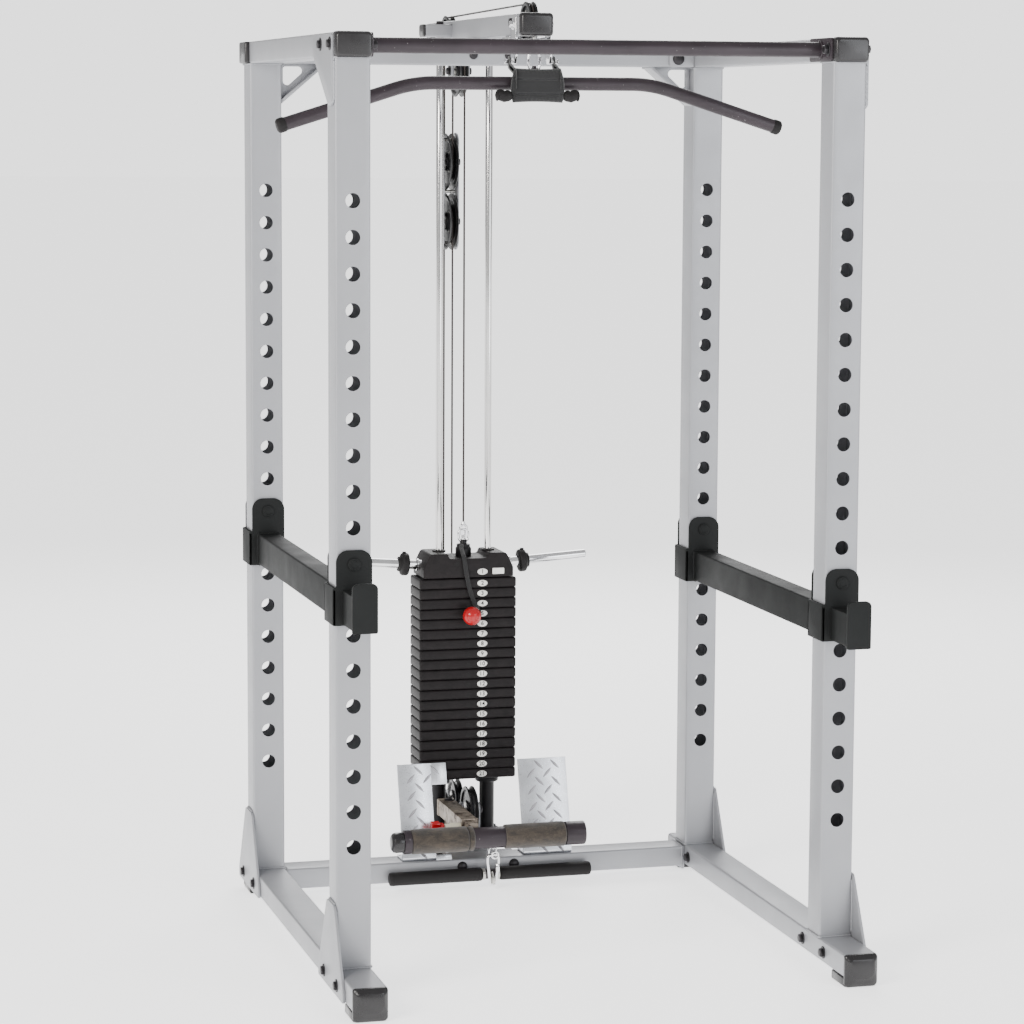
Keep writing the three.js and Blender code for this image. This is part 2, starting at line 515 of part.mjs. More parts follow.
// ---------------------------------------------------------------- cables
const clipTop = LAT_BAR_Z + 96;
const stemTop = stackTop + TOP_PLATE_H + 65;
const loopGap = 0.6;
put("cable_lat_drop", wire([[0, dropY, clipTop + GAP], [0, dropY, (clipTop + FRONT_SHEAVE_Z) / 2],
  [0, dropY, FRONT_SHEAVE_Z - loopGap]], CABLE_R), cableBlack);
put("cable_top_run", wire([
  ...arcYZ(0, FRONT_SHEAVE_Y, FRONT_SHEAVE_Z, cSmall, 180, 90, 8),
  ...arcYZ(0, FLOAT_Y, REAR_SHEAVE_Z, cSmall, 90, 0, 8)], CABLE_R), cableBlack);
put("cable_upper_loop", wire([[0, strandA, REAR_SHEAVE_Z - loopGap],
  ...arcYZ(0, FLOAT_Y, FLOAT_TOP_Z, cSmall, 0, -180, 12),
  [0, strandB, RETURN_Z - loopGap]], CABLE_R), cableBlack);
put("cable_return_arc", wire(arcYZ(0, RETURN_Y, RETURN_Z, cBig, 0, 180, 12), CABLE_R), cableBlack);
put("cable_stack_drop", wire([[0, ROD_Y, RETURN_Z - loopGap], [0, ROD_Y, (RETURN_Z + stemTop) / 2],
  [0, ROD_Y, stemTop + GAP]], CABLE_R), cableBlack);
put("cable_lower_loop", wire([[0, strandA, crossTop + 30 + GAP],
  ...arcYZ(0, FLOAT_Y, FLOAT_LOW_Z, cSmall, 0, 180, 12),
  [0, strandB, LOW_REAR_Z + loopGap]], CABLE_R), cableBlack);
put("cable_low_run", wire([...arcYZ(0, LOW_REAR_Y, LOW_REAR_Z, cSmall, 0, -90, 6),
  [0, LOW_FRONT_Y, LOW_FRONT_Z - cLow], [0, LOW_FRONT_Y - 30, LOW_FRONT_Z - cLow]],
CABLE_R), cableBlack);
put("cable_row_tail", wire([[0, LOW_FRONT_Y - 30 - loopGap, LOW_FRONT_Z - cLow],
  [0, TAIL_Y + 64, LOW_FRONT_Z - cLow], [0, TAIL_Y, LOW_FRONT_Z - cLow]], CABLE_R), cableBlack);

// ---------------------------------------------------------------- weight stack
const frontY = ROD_Y - PLATE_D / 2, backY = ROD_Y + PLATE_D / 2;
const rodHoles = (z0, z1) => [-1, 1].map((s) =>
  borer("z", ROD_R + 1.5, z0, z1, s * ROD_X, ROD_Y, 12));
const stemHole = (z0, z1) => borer("z", STEM_R + 1.2, z0, z1, 0, ROD_Y, 12);
function plateBlock(z0, count) {
  const w = PLATE_W / 2, list = [];
  for (let i = 0; i < count; i++) {
    const z = z0 + i * PLATE_STEP;
    list.push(box(-w, w, frontY, backY, z, z + PLATE_H));
  }
  list.push(box(-w + 3, w - 3, frontY + 3, backY - 3, z0 + 1, z0 + count * PLATE_STEP - 1.6));
  const top = z0 + count * PLATE_STEP;
  return carve(join(list), [...rodHoles(z0 - 5, top + 5), stemHole(z0 - 5, top + 5)]);
}
put("plates_resting", plateBlock(STACK_LOW, REST_PLATES), iron);
const lifted = plateBlock(liftLow, LIFT_PLATES);
put("plates_selected", carve(lifted, [borer("y", 6, frontY - 5, backY - 30, 0, pinZ, 8)]), iron);
{
  const z0 = stackTop, z1 = stackTop + TOP_PLATE_H, w = 116, n = 98;
  const outline = [[-w, z0], [w, z0], [w, z0 + 22], [n, z1], [52, z1], [52, z1 - TOP_NOTCH],
    [-52, z1 - TOP_NOTCH], [-52, z1], [-n, z1], [-w, z0 + 22]];
  let top = solid(plateY(outline, frontY, backY));
  const hornZ = z0 + 28;
  const cuts = [...rodHoles(z0 - 5, z1 + 5), stemHole(z0 - 5, z1 + 5)];
  const tilt = (g, s) => g.translate(-s * 100, -ROD_Y, -hornZ)
    .rotateY(-s * HORN_TILT).translate(s * 100, ROD_Y, hornZ);
  for (const s of [-1, 1]) {
    const [a, b] = s < 0 ? [-130, -86] : [86, 130];
    cuts.push(tilt(borer("x", HORN_R + 0.4, a, b, ROD_Y, hornZ, 12), s));
  }
  top = carve(top, cuts);
  put("top_plate", top, iron);
  for (const [tag, s] of [["left", -1], ["right", 1]]) {
    const [a, b] = s < 0 ? [-HORN_REACH, -87] : [87, HORN_REACH];
    put("plate_horn_" + tag, tilt(bar("x", HORN_R, a, b, ROD_Y, hornZ, 12), s), chrome);
    const r0 = (HORN_R + 0.4) / Math.cos(Math.PI / 12);
    const [c, d] = s < 0 ? [-170, -142] : [142, 170];
    put("horn_collar_" + tag, tilt(ringX([[r0, c], [28.5, c], [28.5, d], [r0, d]],
      0, ROD_Y, hornZ, 12), s), rubber);
  }
  let stem = solid(bar("z", STEM_R, STACK_LOW + 12, z1 - 2, 0, ROD_Y, 12));
  stem = stem.add(solid(bar("z", 20, z1 - TOP_NOTCH + 1, z1 + 17, 0, ROD_Y, 12)));
  stem = stem.add(solid(bar("z", 9, z1, stemTop, 0, ROD_Y, 12)));
  stem = carve(stem, [borer("y", 6, ROD_Y - 40, ROD_Y + 40, 0, pinZ, 8)]);
  put("stack_stem", stem, black);
  put("selector_pin", join([bar("y", 5, frontY - 20, ROD_Y + 18, 0, pinZ, 10),
    new THREE.SphereGeometry(23.5, 12, 8).translate(0, frontY - 36, pinZ)]), red);
}

// ---------------------------------------------------------------- pull-down bar
function ovalRing(y, z0, z1, halfW, r) {
  const outside = [...arc(0, z1 - halfW, halfW, 0, Math.PI, 8),
    ...arc(0, z0 + halfW, halfW, Math.PI, 2 * Math.PI, 8)];
  const hollow = [...arc(0, z1 - halfW, halfW - 2 * r, 0, Math.PI, 8),
    ...arc(0, z0 + halfW, halfW - 2 * r, Math.PI, 2 * Math.PI, 8)];
  return carve(solid(plateY(outside, y - r, y + r)), [plateY(hollow, y - r - 2, y + r + 2)]);
}
{
  const eyeZ = LAT_BAR_Z + LAT_BAR_R + 13;
  const clip = ovalRing(dropY, eyeZ - 4, clipTop - 18, 17, 3.5)
    .add(solid(bar("z", 7, clipTop - 24, clipTop, 0, dropY, 12)));
  put("lat_clip", clip, chrome);
  const straight = 235, bend = 300, angle = THREE.MathUtils.degToRad(17.5);
  const side = [];
  for (let i = 1; i <= 4; i++) {
    const a = angle * i / 4;
    side.push([straight + bend * Math.sin(a), LAT_BAR_Z - bend * (1 - Math.cos(a))]);
  }
  const [lx, lz] = side[side.length - 1];
  side.push([LAT_BAR_HALF, lz - (LAT_BAR_HALF - lx) * Math.tan(angle)]);
  const pts = [...side.slice().reverse().map(([x, z]) => [-x, dropY, z]),
    [-straight, dropY, LAT_BAR_Z], [straight, dropY, LAT_BAR_Z],
    ...side.map(([x, z]) => [x, dropY, z])];
  const eye = carve(solid(plateX([[dropY - 12, LAT_BAR_Z + 6], [dropY + 12, LAT_BAR_Z + 6],
    [dropY + 12, eyeZ + 6], [dropY + 6, eyeZ + 12], [dropY - 6, eyeZ + 12],
    [dropY - 12, eyeZ + 6]], -3.5, 3.5)), [borer("x", 7.5, -6, 6, dropY, eyeZ, 8)]);
  put("lat_bar", solid(wire(pts, LAT_BAR_R, 12)).add(eye), barBrown);
}

// ---------------------------------------------------------------- row bar with its snap link
{
  const linkY = ROW_BAR_Y - ROW_BAR_R - 8, tailZ = LOW_FRONT_Z - cLow;
  let grip = solid(bar("x", ROW_BAR_R, -ROW_BAR_HALF, ROW_BAR_HALF, ROW_BAR_Y, ROW_BAR_Z, 16));
  grip = grip.add(ovalRing(linkY, 7, tailZ - 6, 14, 4));
  grip = grip.add(solid(box(-3.5, 3.5, linkY - 9, ROW_BAR_Y - 8, 6.5, 28)));
  grip = grip.add(solid(box(-4, 4, linkY - 4, TAIL_Y - GAP, tailZ - 11, tailZ - 3)));
  put("row_bar", grip, barBrown);
}

// ---------------------------------------------------------------- foot plates
for (const [tag, s] of [["left", -1], ["right", 1]]) {
  const [a, b] = s < 0 ? [-TREAD_IN - TREAD_W, -TREAD_IN] : [TREAD_IN, TREAD_IN + TREAD_W];
  const y0 = rearY + 1, z0 = crossTop + GAP, t = 5;
  const dy = Math.sin(TREAD_LEAN), dz = Math.cos(TREAD_LEAN), L = TREAD_H / dz;
  const side = [[y0, z0], [y0 + 64, z0], [y0 + 64, z0 + t], [y0 + t / dz + dy * t / dz + 0.5, z0 + t],
    [y0 + L * dy + t * dz, z0 + L * dz - t * dy], [y0 + L * dy, z0 + L * dz]];
  const cutCorner = [box(b - TREAD_NOTCH, b + 1, y0 - 1, y0 + 2 * TREAD_W, z0 + 14, TREAD_NOTCH_TOP)];
  put("foot_plate_" + tag, s < 0 ? carve(solid(plateX(side, a, b)), cutCorner) : plateX(side, a, b),
    treadPlate);
}

// ---------------------------------------------------------------- padded strap
{
  const hookY = FRONT_SHEAVE_Y - 20, hookZ = beamLow - 58;
  const y1 = dropY - LAT_BAR_R - 4.5, y0 = y1 - 21, low = LAT_BAR_Z - 42, top = LAT_BAR_Z + 33;
  const pad = plateY([[-58, low], [58, low], [66, low + 12], [62, low + 40], [54, top],
    [-54, top], [-62, low + 40], [-66, low + 12]], y0, y1);
  const parts = [pad];
  const g = BEAM_W / 2 + GAP;
  for (const s of [-1, 1]) {
    const [a, b] = s < 0 ? [-g - 21, -g - 8] : [g + 8, g + 21];
    parts.push(plateX([[y0 + 8, top - 14], [y1 - 4, top - 14], [hookY + 8, hookZ - 12],
      [hookY + 8, hookZ - 5.6], [hookY - 8, hookZ - 5.6], [y0 + 8, top + 4]], a, b));
    let loop = solid(box(a, b, hookY - 8, hookY + 8, hookZ - 8, hookZ + 8));
    loop = carve(loop, [borer("x", 5, a - 2, b + 2, hookY, hookZ, 8)]);
    parts.push(geometryOf(loop));
  }
  parts.push(bar("x", 11, -100, 100, (y0 + y1) / 2, low + 14, 12));
  put("strap_pad", join(parts), webbing);
}

export default frame;
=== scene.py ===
"""Finished surfaces of a power cage with a cable station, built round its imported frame.

Places inside the functions are in millimetres: X across, Y from the front face of the front
posts towards the back, Z up from the floor. put_mesh() turns them into metres of the frame.
"""

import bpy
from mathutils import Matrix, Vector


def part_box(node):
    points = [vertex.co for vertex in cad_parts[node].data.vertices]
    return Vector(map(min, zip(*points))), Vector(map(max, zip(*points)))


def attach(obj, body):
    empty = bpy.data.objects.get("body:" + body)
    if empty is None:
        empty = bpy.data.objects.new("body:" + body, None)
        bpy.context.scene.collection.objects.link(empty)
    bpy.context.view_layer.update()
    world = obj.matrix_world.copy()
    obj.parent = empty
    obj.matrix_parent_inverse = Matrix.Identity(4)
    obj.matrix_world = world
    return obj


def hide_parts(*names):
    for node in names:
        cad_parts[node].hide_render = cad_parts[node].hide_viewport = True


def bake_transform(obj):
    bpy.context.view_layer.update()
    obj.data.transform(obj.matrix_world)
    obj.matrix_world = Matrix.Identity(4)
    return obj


bl_info = {
    "name": "Power Cage",
    "version": (1, 0, 0),
    "blender": (4, 5, 0),
    "location": "View3D > Sidebar > Power Cage",
    "description": "Finished surfaces of a power cage with a cable station",
    "category": "Add Mesh",
}

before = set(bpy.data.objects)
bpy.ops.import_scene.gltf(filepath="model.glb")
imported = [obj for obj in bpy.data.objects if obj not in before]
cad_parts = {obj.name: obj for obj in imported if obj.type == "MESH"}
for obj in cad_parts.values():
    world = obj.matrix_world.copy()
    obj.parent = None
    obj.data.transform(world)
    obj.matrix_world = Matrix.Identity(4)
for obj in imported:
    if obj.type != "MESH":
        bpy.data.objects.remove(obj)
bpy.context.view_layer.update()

import math

import bmesh
import bpy
import numpy as np
from mathutils import Matrix, Vector

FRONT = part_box("top_tube_left")[0][1]
MM = 0.001


def span(node):
    """Lowest and highest corner of a frame node, in millimetres from the post fronts."""
    low, high = (np.array(corner, dtype=float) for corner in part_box(node))
    low[1] -= FRONT
    high[1] -= FRONT
    return low / MM, high / MM


def place(x, y, z):
    """A point in millimetres as a point of the frame in metres."""
    return (x * MM, FRONT + y * MM, z * MM)


# ------------------------------------------------------------------ sizes read from the frame
TUBE_LOW, TUBE_HIGH = span("base_tube_right")
POST = TUBE_HIGH[0] - TUBE_LOW[0]
HALF = POST / 2
POST_X = (TUBE_LOW[0] + TUBE_HIGH[0]) / 2
INNER_X = POST_X - HALF
OUTER_X = POST_X + HALF
BASE_TOP = TUBE_HIGH[2]
BASE_FRONT, BASE_REAR = TUBE_LOW[1], TUBE_HIGH[1]
ROOF_LOW, ROOF_TOP = span("top_tube_right")[0][2], span("top_tube_right")[1][2]
ROOF_REAR = span("top_tube_right")[1][1]
REAR_Y = ROOF_REAR - POST
CROSS_LOW = span("crossmember_bottom")[0][2] + 8
CROSS_TOP = span("crossmember_bottom")[1][2]
HOLE_PITCH = POST
HOLE_LOW = 338.0
HOLE_COUNT = 19
HOLE_R = 15.9
CELLS = 8         # grid cells of a post from one hole to the next
GAP = 0.3         # keeps a surface just clear of its neighbour
PLATE_T = 6.0     # end plates and gussets
BASE_LOW = span("base_tube_left")[0][2]
BEAM_LOW, BEAM_TOP = span("lat_beam_cap")[0][2], span("lat_beam_cap")[1][2]
BEAM_FRONT = span("lat_beam_cap")[1][1]
BEAM_REAR = span("lat_beam")[1][1]
BEAM_W = 76.2
ROD_X = (span("guide_rod_right")[0][0] + span("guide_rod_right")[1][0]) / 2
ROD_Y = (span("guide_rod_right")[0][1] + span("guide_rod_right")[1][1]) / 2
STACK_LOW = span("plates_resting")[0][2]
LIFT_LOW = span("plates_selected")[0][2]
PLATE_STEP = (LIFT_LOW - STACK_LOW) / 16
STACK_TOP = span("top_plate")[0][2]
TOP_TOP = span("top_plate")[1][2]
PIN_Z = (span("selector_pin")[0][2] + span("selector_pin")[1][2]) / 2
PLATE_FRONT, PLATE_BACK = span("plates_resting")[0][1], span("plates_resting")[1][1]


# ------------------------------------------------------------------ settings
class PowerCageSizes(bpy.types.PropertyGroup):
    """Small sizes of the finish that can be changed."""
    tube_corner: bpy.props.FloatProperty(
        name="Tube corner", description="Outside corner radius of the square tubes",
        default=0.005, min=0.001, max=0.012, unit="LENGTH")
    weld: bpy.props.FloatProperty(
        name="Weld", description="Radius of the weld beads",
        default=0.0032, min=0.001, max=0.006, unit="LENGTH")
    edge: bpy.props.FloatProperty(
        name="Plate edge", description="Rounding of cut plate edges",
        default=0.0009, min=0.0002, max=0.003, unit="LENGTH")
    stack_edge: bpy.props.FloatProperty(
        name="Stack plate edge", description="Rounding of the weight plates' edges",
        default=0.0042, min=0.001, max=0.008, unit="LENGTH")
    cable: bpy.props.FloatProperty(
        name="Cable", description="Radius of the jacketed cable",
        default=0.0025, min=0.001, max=0.005, unit="LENGTH")


class PowerCageColours(bpy.types.PropertyGroup):
    """Base colours of the finishes."""
    silver: bpy.props.FloatVectorProperty(
        name="Silver paint", description="Powder coat of the frame", subtype="COLOR",
        default=(0.36, 0.365, 0.385), min=0, max=1)
    black: bpy.props.FloatVectorProperty(
        name="Black paint", description="Powder coat of the safety arms", subtype="COLOR",
        default=(0.0075, 0.0085, 0.0085), min=0, max=1)
    bar: bpy.props.FloatVectorProperty(
        name="Bar paint", description="Paint of the round bars", subtype="COLOR",
        default=(0.023, 0.0165, 0.021), min=0, max=1)
    iron: bpy.props.FloatVectorProperty(
        name="Iron", description="Paint of the weight plates", subtype="COLOR",
        default=(0.0065, 0.0048, 0.0052), min=0, max=1)
    red: bpy.props.FloatVectorProperty(
        name="Red knobs", description="Moulded knobs of the pins", subtype="COLOR",
        default=(0.42, 0.006, 0.010), min=0, max=1)
    foam: bpy.props.FloatVectorProperty(
        name="Foam", description="Sleeves of the roller", subtype="COLOR",
        default=(0.03, 0.022, 0.015), min=0, max=1)


def sizes():
    """The size settings in millimetres."""
    return {key: getattr(bpy.context.scene.power_cage_sizes, key) / MM
            for key in ("tube_corner", "weld", "edge", "stack_edge", "cable")}


# ------------------------------------------------------------------ surfaces
class Shape:
    """Vertices and faces of one piece, gathered from several surfaces."""

    def __init__(self):
        self.points = []
        self.faces = []
        self.count = 0

    def add(self, points, faces):
        points = np.asarray(points, dtype=float).reshape(-1, 3)
        for group in faces:
            if isinstance(group, np.ndarray) and group.ndim == 2:
                self.faces += (group + self.count).tolist()
            else:
                self.faces.append((np.asarray(group) + self.count).tolist())
        self.points.append(points)
        self.count += len(points)
        return self

    def merged(self):
        return np.concatenate(self.points)


def grid_faces(across, along, wrap=False):
    """Quads of a grid whose vertex number is row times across plus column."""
    column, row = np.meshgrid(np.arange(across if wrap else across - 1), np.arange(along - 1))
    nxt = (column + 1) % across
    quads = [row * across + column, row * across + nxt, (row + 1) * across + nxt,
             (row + 1) * across + column]
    return np.stack(quads, -1).reshape(-1, 4)


def rounded_rect(w, h, r, n=5):
    """Outline of a w by h rectangle whose corners are quarter circles of radius r."""
    a = np.linspace(0, np.pi / 2, n)
    turns = np.repeat(np.arange(4) * np.pi / 2, n)
    angle = np.tile(a, 4) + turns
    sx = np.repeat([1, -1, -1, 1], n)
    sy = np.repeat([1, 1, -1, -1], n)
    return np.stack([sx * (w / 2 - r) + r * np.cos(angle), sy * (h / 2 - r) + r * np.sin(angle)], 1)


def circle(r, n=24):
    """Outline of a circle of radius r."""
    a = np.arange(n) * 2 * np.pi / n
    return np.stack([np.cos(a), np.sin(a)], 1) * r


def closed(outline):
    """The outline with its first point again at the end."""
    return np.concatenate([outline, outline[:1]])


def bend(cx, cy, r, start, end, n=12):
    """Points on an arc about (cx, cy) from one angle to another, in degrees."""
    a = np.radians(np.linspace(start, end, n))
    return np.stack([cx + r * np.cos(a), cy + r * np.sin(a)], 1)


def sweep(shape, path, section, up=(0, 0, 1), scale=None, caps=True):
    """A closed section carried along a path: point = path + side * a + up * b, times scale."""
    path = np.asarray(path, dtype=float)
    ahead = np.gradient(path, axis=0)
    ahead /= np.linalg.norm(ahead, axis=1, keepdims=True)
    side = np.cross(ahead, np.asarray(up, dtype=float))
    side /= np.linalg.norm(side, axis=1, keepdims=True)
    lift = np.cross(side, ahead)
    size = np.ones((len(path), 2)) if scale is None else np.asarray(scale, dtype=float)
    if size.ndim == 1:
        size = np.stack([size, size], 1)
    s = section[None] * size[:, None]
    points = path[:, None] + side[:, None] * s[..., :1] + lift[:, None] * s[..., 1:]
    m, k = len(section), len(path)
    faces = [grid_faces(m, k, True)]
    if caps:
        faces += [np.arange(m), (k - 1) * m + np.arange(m)]
    return shape.add(points, faces)


AXES = np.eye(3)


def lathe(shape, profile, centre, axis, seg=48, ring=False, turn=0.0):
    """A profile of (radius, distance) turned about an axis through centre. ring closes it."""
    p = np.asarray(profile, dtype=float)
    if ring:
        p = closed(p)
    a = np.arange(seg) * 2 * np.pi / seg + turn
    one, two = AXES[(axis + 1) % 3], AXES[(axis + 2) % 3]
    rim = np.cos(a)[:, None] * one + np.sin(a)[:, None] * two
    points = np.asarray(centre) + p[:, :1, None] * rim + p[:, 1:, None] * AXES[axis]
    faces = [grid_faces(seg, len(p), True)]
    if not ring:
        faces += [np.arange(seg), (len(p) - 1) * seg + np.arange(seg)]
    return shape.add(points, faces)


def prism(shape, outline, axis, low, high):
    """A flat outline carried from low to high along an axis. It holds the two other
    coordinates in X, Y, Z order."""
    o = np.asarray(outline, dtype=float)
    m = len(o)
    others = [i for i in range(3) if i != axis]
    points = np.zeros((2, m, 3))
    points[:, :, others] = o
    points[0, :, axis] = low
    points[1, :, axis] = high
    return shape.add(points, [grid_faces(m, 2, True), np.arange(m), m + np.arange(m)])


def slab(shape, x0, x1, y0, y1, z0, z1):
    """A plain block, for parts whose edges a bevel then rounds."""
    return prism(shape, [(x0, y0), (x1, y0), (x1, y1), (x0, y1)], 2, z0, z1)


SHARE = 0.49    # most of a side that one fillet may take up


def fillet(before, corner, after, radius, n):
    """Points of an arc that touches both sides of a corner. It starts and ends at equal reach
    from the corner, and reach = radius / tan(half the corner's angle)."""
    a, b = before - corner, after - corner
    la, lb = np.linalg.norm(a), np.linalg.norm(b)
    a, b = a / la, b / lb
    half = math.acos(max(-1, min(1, float(a @ b)))) / 2
    reach = min(radius / math.tan(half), la * SHARE, lb * SHARE)
    r = reach * math.tan(half)
    centre = corner + (a + b) / np.linalg.norm(a + b) * r / math.sin(half)
    s, e = corner + a * reach - centre, corner + b * reach - centre
    t = np.linspace(0, 1, n)[:, None]
    arc = s * (1 - t) + e * t
    return centre + arc / np.linalg.norm(arc, axis=1, keepdims=True) * r


def rounded_outline(corners, radii, n=6):
    """An outline with each corner replaced by an arc that touches both of its sides."""
    c = np.asarray(corners, dtype=float)
    out = []
    for i, r in enumerate(radii):
        if r <= 0:
            out.append(c[i][None])
        else:
            out.append(fillet(c[i - 1], c[i], c[(i + 1) % len(c)], r, n))
    return np.concatenate(out)


def smooth_path(corners, radius, n=8):
    """A path through corners, each inner corner turned into an arc of a given radius."""
    c = np.asarray(corners, dtype=float)
    out = [c[:1]]
    for i in range(1, len(c) - 1):
        out.append(fillet(c[i - 1], c[i], c[i + 1], radius, n))
    out.append(c[-1:])
    return np.concatenate(out)


def round_bar(shape, path, r, seg=28, dome=0.5, up=(0, 0, 1)):
    """A round bar along a path with edges rounded at both ends by a quarter ellipse."""
    path = np.asarray(path, dtype=float)
    t = np.linspace(0, np.pi / 2, 6)
    first = path[0] - path[1]
    last = path[-1] - path[-2]
    first /= np.linalg.norm(first)
    last /= np.linalg.norm(last)
    depth = r * dome
    head = path[0] + first * (np.sin(t[::-1]) - 1)[:, None] * depth
    tail = path[-1] + last * (np.sin(t) - 1)[:, None] * depth
    full = np.concatenate([head, path[1:-1], tail])
    shrink = 1 - dome * (1 - np.cos(t))
    scale = np.concatenate([shrink[::-1], np.ones(len(path) - 2), shrink])
    return sweep(shape, full, circle(r, seg), up, scale)


def weld_bead(shape, path, r, up=(0, 0, 1)):
    """A bead with ripples: its radius swells and shrinks in a sine along the path."""
    path = np.asarray(path, dtype=float)
    step = np.linalg.norm(np.diff(path, axis=0), axis=1)
    length = np.concatenate([[0], np.cumsum(step)])
    n = max(int(length[-1] / 2.2), 4)
    s = np.linspace(0, length[-1], n)
    fine = np.stack([np.interp(s, length, path[:, i]) for i in range(3)], 1)
    swell = 1 + 0.13 * np.sin(s * 2.1) + 0.05 * np.sin(s * 0.37)
    swell[[0, -1]] *= 0.6
    return sweep(shape, fine, circle(r, 8), up, swell)


def bolt(shape, centre, axis, sign, size=19.0, height=9.0, washer=True):
    """A hex head with a chamfered top on a round washer, facing along sign times the axis."""
    c = np.asarray(centre, dtype=float)
    if washer:
        lathe(shape, [(0, 0), (size * 0.82, 0), (size * 0.82, sign * 1.4), (size * 0.78, sign * 2),
                      (0, sign * 2)], c, axis, 24)
    base = 2.0 if washer else 0.0
    r = size / 2 / math.cos(math.pi / 6)
    lathe(shape, [(0, sign * base), (r, sign * base), (r, sign * (base + height * 0.8)),
                  (r * 0.84, sign * (base + height)), (0, sign * (base + height))], c, axis, 6)
    return shape


def dome_bolt(shape, centre, axis, sign, r=13.0, height=9.0):
    """A round domed head: a flat rim, then a quarter ellipse up to the middle."""
    t = np.linspace(0, np.pi / 2, 7)
    crown = [(r * math.cos(a), sign * (2 + (height - 2) * math.sin(a))) for a in t]
    return lathe(shape, [(0, 0), (r * 1.05, 0), (r * 1.05, sign * 2)] + crown, centre, axis, 28)


# ------------------------------------------------------------------ making objects
def put_mesh(name, shape, finish, body, bevel=0.0, segments=2, solid=0.0, smooth=32,
             replaces=(), recalc=True, subdivide=0):
    """Makes the piece: merges doubles, faces it outwards, rounds its edges, and rides it on its
    body, or bakes it in place when the body is not a name.
    """
    points = shape.merged() * MM
    points[:, 1] += FRONT
    mesh = bpy.data.meshes.new(name)
    mesh.from_pydata(points.tolist(), [], shape.faces)
    bm = bmesh.new()
    bm.from_mesh(mesh)
    bmesh.ops.remove_doubles(bm, verts=bm.verts, dist=2e-6)
    loose = [v for v in bm.verts if not v.link_faces]
    bmesh.ops.delete(bm, geom=loose, context="VERTS")
    if recalc:
        bmesh.ops.recalc_face_normals(bm, faces=bm.faces)
    bm.to_mesh(mesh)
    bm.free()
    piece = bpy.data.objects.new(name, mesh)
    bpy.context.scene.collection.objects.link(piece)
    if solid:
        wall = piece.modifiers.new("Wall", "SOLIDIFY")
        wall.thickness = solid * MM
        wall.offset = -1
        wall.use_even_offset = True
    if bevel:
        edge = piece.modifiers.new("Edge", "BEVEL")
        edge.width = bevel * MM
        edge.segments = segments
        edge.limit_method = "ANGLE"
        edge.angle_limit = math.radians(32)
        edge.use_clamp_overlap = True
    if subdivide:
        soft = piece.modifiers.new("Soft", "SUBSURF")
        soft.levels = soft.render_levels = subdivide
    if piece.modifiers:
        graph = bpy.context.evaluated_depsgraph_get()
        done = bpy.data.meshes.new_from_object(piece.evaluated_get(graph))
        piece.modifiers.clear()
        piece.data = done
        done.name = name
        bpy.data.meshes.remove(mesh)
        mesh = done
    mesh.polygons.foreach_set("use_smooth", np.ones(len(mesh.polygons), dtype=bool))
    if smooth < 180:
        mesh.set_sharp_from_angle(angle=math.radians(smooth))
    mesh.materials.clear()
    mesh.materials.append(finish)
    if isinstance(body, str):
        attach(piece, body)
    else:
        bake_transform(piece)
    if replaces:
        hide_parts(*replaces)
    return piece


# ------------------------------------------------------------------ finishes
FINISHES = {}


class Nodes:
    """A short way to lay out a material's nodes and join them."""

    def __init__(self, name):
        self.material = bpy.data.materials.new(name)
        self.material.use_nodes = True
        self.tree = self.material.node_tree
        self.shader = self.tree.nodes["Principled BSDF"]
        place_node = self.tree.nodes.new("ShaderNodeTexCoord")
        self.where = place_node.outputs["Object"]

    def add(self, kind, inputs=None, **settings):
        node = self.tree.nodes.new(kind)
        for key, value in settings.items():
            setattr(node, key, value)
        for key, value in (inputs or {}).items():
            if isinstance(value, bpy.types.NodeSocket):
                self.tree.links.new(value, node.inputs[key])
            else:
                node.inputs[key].default_value = value
        return node

    def link(self, source, target):
        self.tree.links.new(source, target)

    def noise(self, scale, detail=3.0, rough=0.55, stretch=(1, 1, 1), warp=0.0):
        space = self.add("ShaderNodeMapping", {"Vector": self.where, "Scale": stretch})
        return self.add("ShaderNodeTexNoise", {"Vector": space.outputs[0], "Scale": scale,
                                               "Detail": detail, "Roughness": rough,
                                               "Distortion": warp}).outputs["Fac"]

    def ramp(self, source, stops):
        node = self.add("ShaderNodeValToRGB", {"Fac": source})
        points = node.color_ramp.elements
        while len(points) < len(stops):
            points.new(0.5)
        for point, (at, colour) in zip(points, stops):
            point.position = at
            value = colour if isinstance(colour, (tuple, list)) else (colour,) * 3
            point.color = (*value, 1)
        return node.outputs["Color"]

    def mix(self, factor, one, two, blend="MIX"):
        node = self.add("ShaderNodeMix", data_type="RGBA", blend_type=blend)
        for index, value in ((0, factor), (6, one), (7, two)):
            if isinstance(value, bpy.types.NodeSocket):
                self.tree.links.new(value, node.inputs[index])
            else:
                node.inputs[index].default_value = value if index == 0 else (*value, 1)
        return node.outputs[2]

    def math(self, operation, one, two=0.5):
        node = self.add("ShaderNodeMath", operation=operation)
        for socket, value in zip(node.inputs, (one, two)):
            if isinstance(value, bpy.types.NodeSocket):
                self.tree.links.new(value, socket)
            else:
                socket.default_value = value
        return node.outputs[0]

    def bump(self, height, strength, distance, below=None):
        inputs = {"Height": height, "Strength": strength, "Distance": distance}
        if below is not None:
            inputs["Normal"] = below
        return self.add("ShaderNodeBump", inputs).outputs[0]

    def done(self, colour, rough, normal=None, **fixed):
        for socket, value in (("Base Color", colour), ("Roughness", rough), ("Normal", normal)):
            if value is None:
                continue
            if isinstance(value, bpy.types.NodeSocket):
                self.link(value, self.shader.inputs[socket])
            elif socket == "Base Color":
                self.shader.inputs[socket].default_value = (*value, 1)
            else:
                self.shader.inputs[socket].default_value = value
        for key, value in fixed.items():
            self.shader.inputs[key.replace("_", " ")].default_value = value
        return self.material


def shade(colour, factor):
    """A colour made lighter or darker."""
    return tuple(min(max(channel * factor, 0), 1) for channel in colour)


